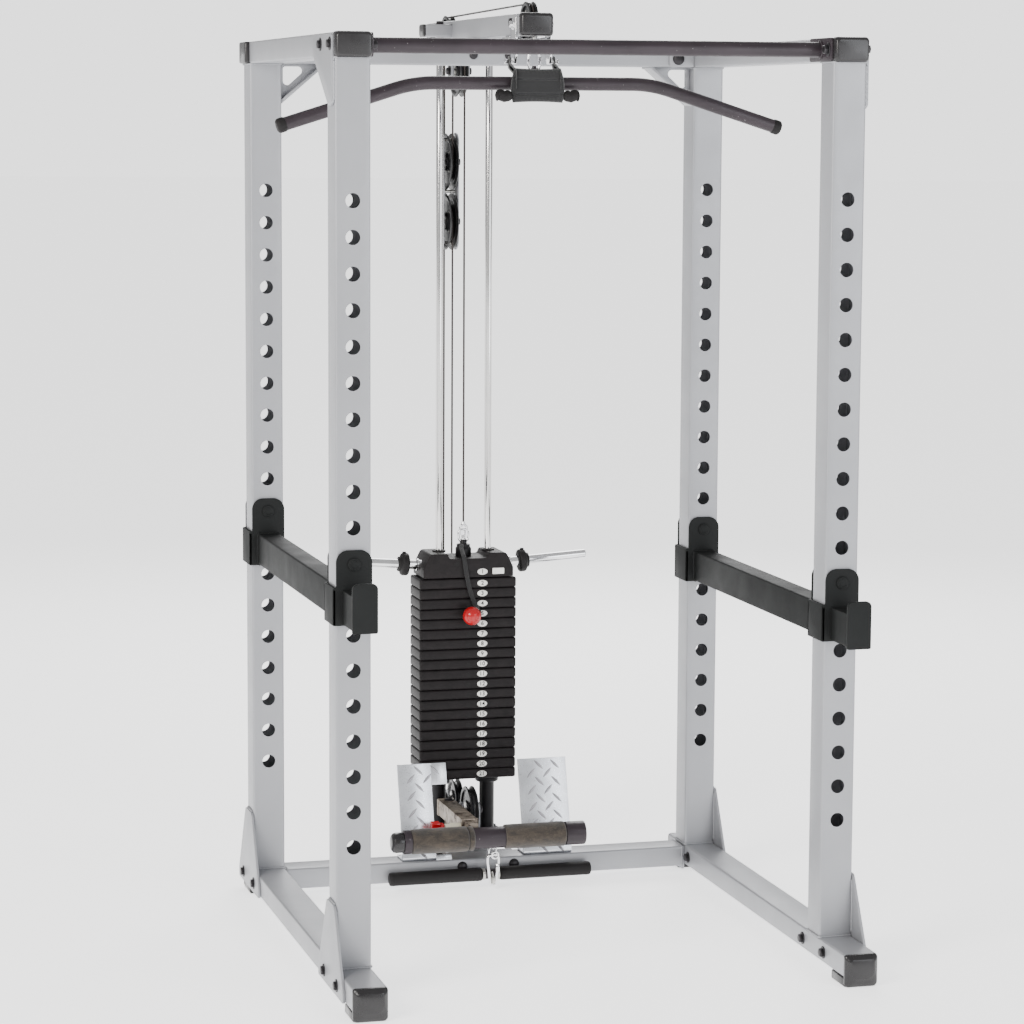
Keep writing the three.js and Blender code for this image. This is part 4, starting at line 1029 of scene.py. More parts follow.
def build_beam():
    """The beam over the lifter with its saddle, stubs for the rods, and pulley brackets."""
    k = sizes()
    beam = Shape()
    w, h = BEAM_W, BEAM_TOP - BEAM_LOW
    zm = (BEAM_LOW + BEAM_TOP) / 2
    y0, y1 = BEAM_FRONT + 0.3, BEAM_REAR
    section = rounded_rect(w, h, k["tube_corner"])
    front, rear = middle("pulley_front_top"), middle("pulley_rear_top")
    slot_w, reach = 30.0, 51.0
    cheek = (w - slot_w) / 2
    for a, b, split in ((y0, front[1] - reach, False), (front[1] - reach, front[1] + reach, True),
                        (front[1] + reach, rear[1] - reach, False),
                        (rear[1] - reach, rear[1] + reach, True), (rear[1] + reach, y1, False)):
        if not split:
            sweep(beam, [(0, a, zm), (0, b, zm)], section)
            continue
        for side in (-1, 1):
            x = side * (slot_w / 2 + cheek / 2)
            sweep(beam, [(x, a, zm), (x, b, zm)], rounded_rect(cheek, h, k["tube_corner"]))
    put_mesh("beam_tube", beam, FINISHES["silver"], "cage",
             replaces=("lat_beam",))
    plates, beads, heads, caps = Shape(), Shape(), Shape(), Shape()
    ret = middle("pulley_return")
    back = REAR_Y + POST + 8
    outline = rounded_outline([(-60, REAR_Y), (60, REAR_Y), (60, back), (-60, back)], [8] * 4)
    prism(plates, outline, 2, ROOF_TOP + 0.3, BEAM_LOW + 0.5)
    outline = rounded_outline([(-60, ROOF_LOW + 6), (60, ROOF_LOW + 6), (60, BEAM_LOW),
                               (-60, BEAM_LOW)], [8, 8, 2, 2])
    prism(plates, outline, 1, REAR_Y + POST + 2, REAR_Y + POST + 8)
    for side in (-1, 1):
        a, b = sorted((side * 18, side * 23))
        bracket = rounded_outline([(ret[1] - 26, BEAM_LOW + 1), (ret[1] + 26, BEAM_LOW + 1),
                                   (ret[1] + 24, ret[2] - 22), (ret[1] - 24, ret[2] - 22)],
                                  [2, 2, 16, 16], 8)
        prism(plates, bracket, 0, a, b)
        c, d = sorted((side * (w / 2 - 2), side * 106))
        sweep(plates, [(c, ROD_Y, BEAM_LOW + 26), (d, ROD_Y, BEAM_LOW + 26)],
              rounded_rect(50, 30, 4))
        cap_path = [(side * 105, ROD_Y, BEAM_LOW + 26), (side * 109, ROD_Y, BEAM_LOW + 26),
                    (side * 111, ROD_Y, BEAM_LOW + 26)]
        sweep(caps, cap_path, rounded_rect(51, 31, 6), (0, 0, 1), [1.0, 1.0, 0.8])
        bolt(heads, (side * ROD_X, ROD_Y, BEAM_LOW + 41), 2, 1, 17, 7)
        bolt(heads, (side * 23, ret[1], ret[2]), 0, side, 17, 7)
        for node in ("pulley_front_top", "pulley_rear_top"):
            m = middle(node)
            bolt(heads, (side * w / 2, m[1], m[2]), 0, side, 19, 8)
        weld_bead(beads, [(side * w / 2, REAR_Y + 4, BEAM_LOW + 1),
                          (side * w / 2, REAR_Y + POST + 4, BEAM_LOW + 1)], k["weld"])
        weld_bead(beads, [(side * (w / 2 + 1), ROD_Y - 24, BEAM_LOW + 12),
                          (side * (w / 2 + 1), ROD_Y - 24, BEAM_LOW + 40),
                          (side * (w / 2 + 1), ROD_Y + 24, BEAM_LOW + 40)], k["weld"])
        weld_bead(beads, [(side * 24, ret[1] - 25, BEAM_LOW - 1), (side * 24, ret[1] + 25,
                                                                  BEAM_LOW - 1)], k["weld"])
    put_mesh("beam_plates", plates, FINISHES["silver"], "cage", bevel=0.9)
    put_mesh("beam_welds", beads, FINISHES["weld"], "cage", smooth=180)
    put_mesh("beam_bolts", heads, FINISHES["bolt"], "cage", bevel=0.5)
    cap_loft(caps, w + 3, h + 3, BEAM_FRONT - 1, 17.0, -1, (0, zm), 8, 8)
    cap_loft(caps, w + 1, h + 1, y1 - 8, 12.0, 1, (0, zm), 8, 6)
    put_mesh("beam_caps", caps, FINISHES["cap"], "cage", bevel=0.7,
             replaces=("lat_beam_cap",))


def sheave(name, body):
    """A moulded pulley turned about X: rim, round groove, dished web, hub and its bearing."""
    low, high = span(name)
    c = (low + high) / 2
    r, t = (high[2] - low[2]) / 2, 11.0
    bed = 40.0 if "float" in name else r - 8
    hub = min(r, 60) * 0.36
    angle = np.linspace(200, 340, 9)
    groove = [(bed + 6.2 + 6.2 * math.sin(math.radians(a)), 5.4 * math.cos(math.radians(a)))
              for a in angle]
    side = [(hub, t - 0.4), (hub + 3, t - 4.2), (r - 12, t - 5.2), (r - 9, t - 1.2),
            (r - 3, t - 0.2), (r - 0.6, t - 1.4), (r - 0.2, t - 3.4)]
    mirror = [(a, -b) for a, b in side[::-1]]
    bore = [(7.5, -t + 0.4), (7.5, t - 0.4)]
    profile = side + [(max(a, bed), -b) for a, b in groove] + mirror + bore
    s = Shape()
    lathe(s, profile, c, 0, 64, ring=True)
    put_mesh("wheel_" + name[7:], s, FINISHES["nylon"], body, smooth=40,
             replaces=(name,))
    hubs = Shape()
    lathe(hubs, [(6.2, -t), (7.4, -t), (7.4, t), (6.2, t)], c, 0, 28, ring=True)
    for way in (-1, 1):
        lathe(hubs, [(8.2, way * (t - 1.5)), (hub - 3, way * (t - 1.5)), (hub - 3, way * (t - 0.2)),
                     (8.2, way * (t - 0.2))], c, 0, 36, ring=True)
    for spoke in range(5):
        a = spoke * 2 * math.pi / 5
        mid = (hub + r - 12) / 2
        for way in (-1, 1):
            p = c + np.array([way * (t - 4.6), mid * math.cos(a), mid * math.sin(a)])
            lathe(hubs, [(0, 0), (2.6, 0), (2.6, way * 0.5), (0, way * 0.5)], p, 0, 14)
    put_mesh("bearing_" + name[7:], hubs, FINISHES["zinc"], body, bevel=0.2)


def build_pulleys():
    """All seven pulleys, the floating block and the bolts that carry them."""
    rides = {"pulley_front_top": "wheel_front_top", "pulley_rear_top": "wheel_rear_top",
             "pulley_return": "wheel_return", "pulley_float_upper": "wheel_float_upper",
             "pulley_float_lower": "wheel_float_lower", "pulley_low_rear": "wheel_low_rear",
             "pulley_low_front": "wheel_low_front"}
    for node, body in rides.items():
        sheave(node, body)
    axles = Shape()
    for node, reach in (("pulley_front_top", 38), ("pulley_rear_top", 38), ("pulley_return", 22),
                        ("pulley_low_rear", 22), ("pulley_low_front", 22)):
        lathe(axles, [(5.8, -reach), (5.8, reach)], middle(node), 0, 20)
    put_mesh("fixed_axles", axles, FINISHES["zinc"], "cage", bevel=0.4)
    low, high = span("float_block")
    top, base = middle("pulley_float_upper"), middle("pulley_float_lower")
    plates, heads = Shape(), Shape()
    y = top[1]
    for side in (-1, 1):
        a, b = sorted((side * 17, side * 21))
        outline = np.concatenate([bend(y, high[2] - 30, 30, 0, 180, 14),
                                  bend(y, low[2] + 30, 30, 180, 360, 14)])
        prism(plates, outline, 0, a, b)
        for c in (top, base):
            bolt(heads, (side * 21, c[1], c[2]), 0, side, 17, 7)
            lathe(heads, [(5.8, 0), (5.8, side * 20)], c, 0, 20)
        for z in (high[2] - 18, low[2] + 18, (high[2] + low[2]) / 2):
            bolt(heads, (side * 21, y, z), 0, side, 10, 4, False)
    put_mesh("float_plates", plates, FINISHES["silver"], "floater", bevel=1.0,
             replaces=("float_block",))
    put_mesh("float_bolts", heads, FINISHES["bolt"], "floater", bevel=0.4)
    ties = Shape()
    for z in (high[2] - 18, low[2] + 18, (high[2] + low[2]) / 2):
        lathe(ties, [(4, -17.2), (4, 17.2)], (0, y, z), 0, 20)
    put_mesh("float_spacers", ties, FINISHES["zinc"], "floater")


def arc_points(c, r, start, end, n=20):
    """Points on a circle of radius r about c in the plane across X."""
    a = np.radians(np.linspace(start, end, n))
    return np.column_stack([np.zeros(n), c[1] + r * np.cos(a), c[2] + r * np.sin(a)])


def strand(name, path, body, node=None, seg=12):
    """One jacketed strand of cable along a path."""
    s = Shape()
    sweep(s, path, circle(sizes()["cable"], seg), (1, 0, 0))
    return put_mesh(name, s, FINISHES["jacket"], body, smooth=60,
                    replaces=(node,) if node else ())


def build_cables():
    """Every strand of both cables. Strands whose end moves are given two bodies and two end points,
    which put_mesh does not use; it bakes them where they are.
    """
    front, rear, ret = (middle("pulley_" + n) for n in ("front_top", "rear_top", "return"))
    up, down = middle("pulley_float_upper"), middle("pulley_float_lower")
    low_r, low_f = middle("pulley_low_rear"), middle("pulley_low_front")
    c_s, c_b, c_l = 43.0, 59.0, 55.0
    drop_y, a_y, b_y = front[1] - c_s, up[1] + c_s, ret[1] + c_b
    clip_top = span("lat_clip")[1][2]
    stem_top = span("stack_stem")[1][2]
    z = front[2] - 0.6
    strand("strand_pull", [(0, drop_y, z), (0, drop_y, clip_top + 0.2)],
           ("cage", "clip", place(0, drop_y, z), place(0, drop_y, clip_top + 0.2)),
           "cable_lat_drop")
    strand("strand_top", np.concatenate([arc_points(front, c_s, 180, 90),
                                         arc_points(rear, c_s, 90, 0)]), "cage", "cable_top_run")
    strand("strand_a", [(0, a_y, rear[2] - 0.6), (0, a_y, up[2])],
           ("cage", "floater", place(0, a_y, rear[2] - 0.6), place(0, a_y, up[2])),
           "cable_upper_loop")
    strand("strand_float_upper", arc_points(up, c_s, 0, -180, 28), "floater")
    strand("strand_b", [(0, b_y, ret[2] - 0.6), (0, b_y, up[2])],
           ("cage", "floater", place(0, b_y, ret[2] - 0.6), place(0, b_y, up[2])))
    strand("strand_return", arc_points(ret, c_b, 0, 180, 30), "cage", "cable_return_arc")
    z = ret[2] - 0.6
    strand("strand_stack", [(0, ROD_Y, z), (0, ROD_Y, stem_top)],
           ("cage", "stack", place(0, ROD_Y, z), place(0, ROD_Y, stem_top)), "cable_stack_drop")
    z = CROSS_TOP + 30.3
    strand("strand_anchor", [(0, a_y, z), (0, a_y, down[2])],
           ("cage", "floater", place(0, a_y, z), place(0, a_y, down[2])), "cable_lower_loop")
    strand("strand_float_lower", arc_points(down, c_s, 0, 180, 28), "floater")
    strand("strand_lower_b", [(0, b_y, low_r[2]), (0, b_y, down[2])],
           ("cage", "floater", place(0, b_y, low_r[2]), place(0, b_y, down[2])))
    tail_z = low_f[2] - c_l
    run = np.concatenate([arc_points(low_r, c_s, 0, -84, 14), arc_points(low_f, c_l, -84, -90, 4),
                          [(0, low_f[1] - 30, tail_z)]])
    strand("strand_low", run, "cage", "cable_low_run")
    y0, y1 = low_f[1] - 30.6, span("cable_row_tail")[0][1]
    strand("strand_row", [(0, y0, tail_z), (0, y1, tail_z)],
           ("cage", "row", place(0, y0, tail_z), place(0, y1, tail_z)), "cable_row_tail")
    fit = Shape()
    for y, z, length in ((drop_y, clip_top - 2, 20), ):
        lathe(fit, [(3.2, 0), (4.6, 2), (4.6, length - 4), (3.2, length)], (0, y, z), 2, 20)
    put_mesh("pull_ferrule", fit, FINISHES["zinc"], "clip")
    fit = Shape()
    lathe(fit, [(3.2, 0), (5, 2), (5, 26), (3.4, 30)], (0, a_y, CROSS_TOP + 29), 2, 20)
    put_mesh("anchor_ferrule", fit, FINISHES["zinc"], "cage")
    fit = Shape()
    lathe(fit, [(3.2, 0), (4.6, 2), (4.6, 24), (3.2, 26)], (0, y1 - 1, tail_z), 1, 20)
    put_mesh("row_ferrule", fit, FINISHES["zinc"], "row")


def ring_link(shape, centre, half_w, half_h, r, normal=1, n=40):
    """A wire link: a superellipse path of half sizes w and h, swept by a round section."""
    a = np.linspace(0, 2 * np.pi, n + 1)
    e = 2 / 2.6
    u = half_w * np.sign(np.cos(a)) * np.abs(np.cos(a)) ** e
    v = half_h * np.sign(np.sin(a)) * np.abs(np.sin(a)) ** e
    c = np.asarray(centre, dtype=float)
    across = AXES[0] if normal == 1 else AXES[1]
    path = c + u[:, None] * across + v[:, None] * AXES[2]
    up = AXES[normal]
    ahead = np.roll(path[:-1], -1, 0) - np.roll(path[:-1], 1, 0)
    ahead /= np.linalg.norm(ahead, axis=1, keepdims=True)
    side = np.cross(ahead, up)
    s = circle(r, 12)
    points = path[:-1, None] + side[:, None] * s[:, :1] + up * s[:, 1:]
    m = len(s)
    column, row = np.meshgrid(np.arange(m), np.arange(n))
    nc, nr = (column + 1) % m, (row + 1) % n
    quads = np.stack([row * m + column, row * m + nc, nr * m + nc, nr * m + column], -1)
    return shape.add(points, [quads.reshape(-1, 4)])


def build_hanger():
    """Chrome hanger for the strap, beside the beam's cap, with its cross pins."""
    low, high = span("strap_hanger")
    g = BEAM_W / 2 + 0.3
    y0, y1 = low[1], low[1] + 44
    legs, pins = Shape(), Shape()
    for side in (-1, 1):
        a, b = sorted((side * g, side * (g + 5)))
        outline = [(y0, BEAM_TOP - 1), (y0, BEAM_LOW - 46), (y0 + 10, BEAM_LOW - 64),
                   (y0 + 30, BEAM_LOW - 64), (y1, BEAM_LOW - 42), (y1, BEAM_TOP - 1)]
        prism(legs, rounded_outline(outline, [10, 10, 6, 6, 10, 10], 7), 0, a, b)
        prism(legs, [(y1 - 4, BEAM_LOW - 8), (high[1] - 2, BEAM_LOW - 8),
                     (high[1] - 2, BEAM_LOW - 1), (y1 - 4, BEAM_LOW - 1)], 0, a, b)
        lathe(pins, [(0, side * (g + 3)), (4, side * (g + 3)), (4, side * (g + 23)),
                     (6, side * (g + 23.4)), (6, side * (g + 25)), (0, side * (g + 25))],
              (0, y0 + 20, BEAM_LOW - 58), 0, 20)
        bolt(pins, (side * (g + 5), y0 + 22, BEAM_LOW + 26), 0, side, 15, 6)
        bolt(pins, (side * (g + 5), y0 + 22, BEAM_LOW - 22), 0, side, 13, 5)
    slab(legs, -g - 4, g + 4, high[1] - 22, high[1], BEAM_LOW - 8, BEAM_LOW - 1)
    put_mesh("hanger_plates", legs, FINISHES["chrome"], "cage", bevel=1.2, segments=3,
             replaces=("strap_hanger",))
    put_mesh("hanger_pins", pins, FINISHES["chrome"], "cage", bevel=0.4)


def build_clip():
    """Snap link and swivel between the cable and the pull-down bar."""
    low, high = span("lat_clip")
    y = (low[1] + high[1]) / 2
    link, swivel = Shape(), Shape()
    mid = (low[2] + high[2] - 18) / 2
    ring_link(link, (0, y, mid), 13.5, (high[2] - 18 - low[2]) / 2 - 3.5, 3.5)
    lathe(swivel, [(0, high[2] - 26), (5, high[2] - 25), (7, high[2] - 21), (7, high[2] - 12),
                   (5.4, high[2] - 10), (5.4, high[2] - 6), (6.6, high[2] - 4), (6.6, high[2] - 1),
                   (0, high[2])], (0, y, 0), 2, 28)
    lathe(swivel, [(3.8, -9), (4.8, -8), (4.8, 8), (3.8, 9)], (13.5, y, mid), 2, 20)
    put_mesh("snap_link", link, FINISHES["chrome"], "clip", smooth=180,
             replaces=("lat_clip",))
    put_mesh("swivel", swivel, FINISHES["chrome"], "clip")


def build_pull_bar():
    """Pull-down bar: straight middle, curved shoulders, sloping ends with rubber caps."""
    low, high = span("lat_bar")
    y = (low[1] + high[1]) / 2
    r = (high[1] - low[1]) / 2
    z = BEAM_LOW - 108
    a = np.radians(np.linspace(0, 17.5, 16))[1:]
    x = 235 + 300 * np.sin(a)
    h = z - 300 * (1 - np.cos(a))
    end = 596.0
    tip = h[-1] - (end - x[-1]) * math.tan(math.radians(17.5))
    right = np.column_stack([np.append(x, end), np.full(16, y), np.append(h, tip)])
    left = right[::-1] * [-1, 1, 1]
    path = np.concatenate([left, [(-235, y, z), (0, y, z), (235, y, z)], right])
    bar = Shape()
    round_bar(bar, path, r, 32, 0.35, (0, 1, 0))
    put_mesh("pull_bar", bar, FINISHES["bar"], "pull_bar", smooth=50,
             replaces=("lat_bar",))
    grips = Shape()
    ahead = (right[-1] - right[-2]) / np.linalg.norm(right[-1] - right[-2])
    for flip in (1, -1):
        d = ahead * [flip, 1, 1]
        tip_point = right[-1] * [flip, 1, 1]
        path = [tip_point - d * 22, tip_point - d * 10, tip_point + d * 2.0]
        round_bar(grips, path, r + 1.6, 32, 0.45, (0, 1, 0))
    put_mesh("pull_bar_caps", grips, FINISHES["rubber"], "pull_bar", smooth=50)
    eye = Shape()
    top = high[2]
    outline = rounded_outline([(y - 12, z + 8), (y + 12, z + 8), (y + 12, top), (y - 12, top)],
                              [1, 1, 11.5, 11.5], 9)
    hole = bend(y, z + r + 13, 7.2, 0, 360, 29)[:-1]
    prism_with_hole(eye, outline, hole, 0, -3.5, 3.5)
    weld_bead(eye, [(-4, y - 11, z + r - 1), (-4, y + 11, z + r - 1)], 2.2, (1, 0, 0))
    weld_bead(eye, [(4, y - 11, z + r - 1), (4, y + 11, z + r - 1)], 2.2, (1, 0, 0))
    put_mesh("pull_bar_eye", eye, FINISHES["bar"], "pull_bar")


def prism_with_hole(shape, outline, hole, axis, low, high):
    """A plate with one hole: both outlines are resampled by angle about the hole's middle, and
    joined by quads on each face and on both walls."""
    o, h = np.asarray(outline, dtype=float), np.asarray(hole, dtype=float)
    c = h.mean(0)
    n = 72
    angle = np.linspace(-np.pi, np.pi, n, endpoint=False)

    def reach(points):
        d = points - c
        nxt = np.roll(d, -1, 0)
        out = np.full(n, 1e9)
        ray = np.stack([np.cos(angle), np.sin(angle)], 1)
        edge = nxt - d
        cross = ray[:, None, 0] * edge[None, :, 1] - ray[:, None, 1] * edge[None, :, 0]
        safe = np.where(np.abs(cross) < 1e-12, 1e-12, cross)
        t = (d[None, :, 0] * edge[None, :, 1] - d[None, :, 1] * edge[None, :, 0]) / safe
        u = (d[None, :, 0] * ray[:, None, 1] - d[None, :, 1] * ray[:, None, 0]) / safe
        good = (t > 0) & (u >= -1e-6) & (u <= 1 + 1e-6)
        return np.where(good, t, out[:, None]).min(1)[:, None] * ray + c

    others = [i for i in range(3) if i != axis]
    rings = []
    for flat, level in ((reach(o), low), (reach(o), high), (reach(h), high), (reach(h), low)):
        points = np.zeros((n, 3))
        points[:, others] = flat
        points[:, axis] = level
        rings.append(points)
    k = np.arange(n)
    nxt = (k + 1) % n
    faces = [np.stack([i * n + k, i * n + nxt, (i + 1) % 4 * n + nxt, (i + 1) % 4 * n + k], -1)
             for i in range(4)]
    return shape.add(np.concatenate(rings), faces)


def build_strap():
    """The padded strap: a crowned pad whose cover pulls in at the seams, two webbing loops and
    the rubber grip along its lower edge."""
    low = span("strap_pad")[0]
    hook_y, hook_z = middle("pulley_front_top")[1] - 20, BEAM_LOW - 58
    y0, y1 = low[1], low[1] + 21
    ym = (y0 + y1) / 2
    z0, z1 = low[2], low[2] + 75
    u, v = np.meshgrid(np.linspace(-1, 1, 65), np.linspace(-1, 1, 49))
    width = 64 - 9 * np.clip(v, 0, 1) ** 1.5 - 5 * np.clip(-v, 0, 1) ** 3
    x = u * width
    z = z0 + (z1 - z0) * (v + 1) / 2 + 2.2 * u ** 2 * v
    edge = np.clip((1 - np.abs(u) ** 5) * (1 - np.abs(v) ** 5), 0, 1) ** 0.42
    channel = 1 - 0.3 * np.exp(-((v - 0.36) / 0.05) ** 2) - 0.3 * np.exp(-((v + 0.5) / 0.05) ** 2)
    pucker = 1 + 0.035 * np.sin(u * 37) * np.exp(-((np.abs(v) - 0.86) / 0.12) ** 2)
    thick = 10.2 * edge * channel * pucker
    front = np.stack([x, ym - thick, z], -1).reshape(-1, 3)
    back = np.stack([x, ym + thick * 0.9, z], -1).reshape(-1, 3)
    quads = grid_faces(65, 49)
    pad = Shape()
    pad.add(np.concatenate([front, back]), [quads, quads[:, ::-1] + 65 * 49])
    cover = put_mesh("strap_cover", pad, FINISHES["strap"], "strap", smooth=180,
                     subdivide=1, replaces=("strap_pad",))
    bands, threads, ends = Shape(), Shape(), Shape()
    for side in (-1, 1):
        x = side * (BEAM_W / 2 + 14.5)
        loop = smooth_path([(x, y0 + 5, z0 + 30), (x, y0 + 4, z1 - 8), (x, hook_y - 8, hook_z - 9),
                            (x, hook_y - 6.5, hook_z + 5.5), (x, hook_y + 1, hook_z + 7),
                            (x, hook_y + 6.5, hook_z + 2), (x, hook_y + 5, hook_z - 10),
                            (x, y1 - 2, z1 - 8), (x, y1 - 3, z0 + 34)], 5, 7)
        sweep(bands, loop, rounded_rect(1.8, 13, 0.8, 3)[:, ::-1], (1, 0, 0))
        for z in (z1 - 16, z1 - 24, z1 - 32):
            for dx in np.arange(-4.5, 4.6, 3.0):
                sweep(threads, [(x + dx - 1.0, y0 + 3.4, z), (x + dx + 1.0, y0 + 3.4, z)],
                      circle(0.45, 6))
        grip = [(side * 60, ym, z0 + 17), (side * 78, ym, z0 + 12), (side * 99, ym, z0 + 20)]
        round_bar(ends, grip, 13, 28, 0.9)
        for offset in (66, 70, 94):
            lathe(ends, [(11.4, offset * side), (12.4, (offset + 0.8) * side),
                         (12.4, (offset + 2.0) * side), (11.4, (offset + 2.8) * side)],
                  (0, ym, z0 + 14), 0, 28)
    for z in (z0 + 18.5, z0 + 51):
        for x in np.arange(-50, 51, 5.0):
            sweep(threads, [(x - 1.6, ym - 7.9, z), (x + 1.6, ym - 7.9, z)], circle(0.45, 6))
    put_mesh("strap_bands", bands, FINISHES["strap"], "strap", smooth=50)
    put_mesh("strap_stitches", threads, FINISHES["thread"], "strap")
    put_mesh("strap_grips", ends, FINISHES["rubber"], "strap", smooth=50)


# ------------------------------------------------------------------ cable station, stack
def build_rods():
    """Chrome guide rods and the black sleeves that the stack rests on."""
    for tag, side in SIDES:
        low, high = span("guide_rod_" + tag)
        rod = Shape()
        round_bar(rod, [(side * ROD_X, ROD_Y, low[2]), (side * ROD_X, ROD_Y, high[2])], 9, 36, 0.2,
                  (1, 0, 0))
        put_mesh("rod_" + tag, rod, FINISHES["rod"], "cage", smooth=60,
                 replaces=("guide_rod_" + tag,))
        low, high = span("rod_sleeve_" + tag)
        sleeve = Shape()
        z0, z1 = low[2], high[2]
        profile = [(10.1, z0), (18, z0), (19, z0 + 1.5), (19, z1 - 20), (20, z1 - 17.5),
                   (27, z1 - 16.5), (29.5, z1 - 14), (29.5, z1 - 3), (28, z1), (10.1, z1)]
        lathe(sleeve, profile, (side * ROD_X, ROD_Y, 0), 2, 40, ring=True)
        put_mesh("sleeve_" + tag, sleeve, FINISHES["sleeve"], "cage",
                 replaces=("rod_sleeve_" + tag,))


def plate_outline():
    """Plan of a weight plate: a rectangle with rounded corners."""
    w = 125.0
    corners = [(-w, PLATE_FRONT), (w, PLATE_FRONT), (w, PLATE_BACK), (-w, PLATE_BACK)]
    return rounded_outline(corners, [7, 7, 7, 7], 5)


def oval(cx, cz, w, h, n=24):
    """An upright oval outline."""
    a = np.arange(n) * 2 * np.pi / n
    return np.column_stack([cx + w * np.cos(a), cz + h * np.sin(a)])


def numeral(shape, text, x, y, z, size):
    """A number as flat raised letters on a face towards -Y."""
    curve = bpy.data.curves.new("numeral", "FONT")
    curve.body = text
    curve.size = size
    curve.align_x = "CENTER"
    curve.align_y = "CENTER"
    curve.extrude = 0.15
    curve.offset = 0.25
    curve.resolution_u = 3
    holder = bpy.data.objects.new("numeral", curve)
    bpy.context.scene.collection.objects.link(holder)
    graph = bpy.context.evaluated_depsgraph_get()
    graph.update()
    mesh = bpy.data.meshes.new_from_object(holder.evaluated_get(graph))
    flat = np.empty(len(mesh.vertices) * 3)
    mesh.vertices.foreach_get("co", flat)
    flat = flat.reshape(-1, 3)
    points = np.column_stack([x + flat[:, 0], y - flat[:, 2], z + flat[:, 1]])
    shape.add(points, [list(p.vertices) for p in mesh.polygons])
    bpy.data.objects.remove(holder)
    bpy.data.curves.remove(curve)
    bpy.data.meshes.remove(mesh)


def build_plates():
    """Twenty plates with numbered labels, in two groups; each pin hole is a flat dark disc on the
    solid plate, as painted shade.
    """
    k = sizes()
    outline = plate_outline()
    for name, node, body, count, low, first in (
            ("plates_lifted", "plates_selected", "stack", 4, LIFT_LOW, 2),
            ("plates_down", "plates_resting", "cage", 16, STACK_LOW, 6)):
        iron, tags, ink, hole_shade_discs = Shape(), Shape(), Shape(), Shape()
        for i in range(count):
            z = low + i * PLATE_STEP
            number = str(first + count - 1 - i)
            prism(iron, outline, 2, z, z + PLATE_STEP - 0.6)
            mid = z + (PLATE_STEP - 0.6) / 2
            prism(tags, oval(36, mid, 13, 7.8), 1, PLATE_FRONT - 0.7, PLATE_FRONT + 0.4)
            numeral(ink, number, 36, PLATE_FRONT - 0.85, mid, 14.5)
            # painted shade: a flat dark rubber disc on the front face stands for the pin hole; the
            # iron plate is solid there
            lathe(hole_shade_discs, [(0, -0.5), (6.4, -0.5), (6.4, 1), (0, 1)], (0, PLATE_FRONT, mid - 2),
                  1, 24)
        put_mesh(name, iron, FINISHES["iron"], body, bevel=k["stack_edge"], segments=3,
                 replaces=(node,), smooth=40)
        put_mesh(name + "_labels", tags, FINISHES["label"], body, bevel=0.2)
        put_mesh(name + "_numbers", ink, FINISHES["ink"], body, recalc=False)
        put_mesh(name + "_hole_shade", hole_shade_discs, FINISHES["rubber"], body)


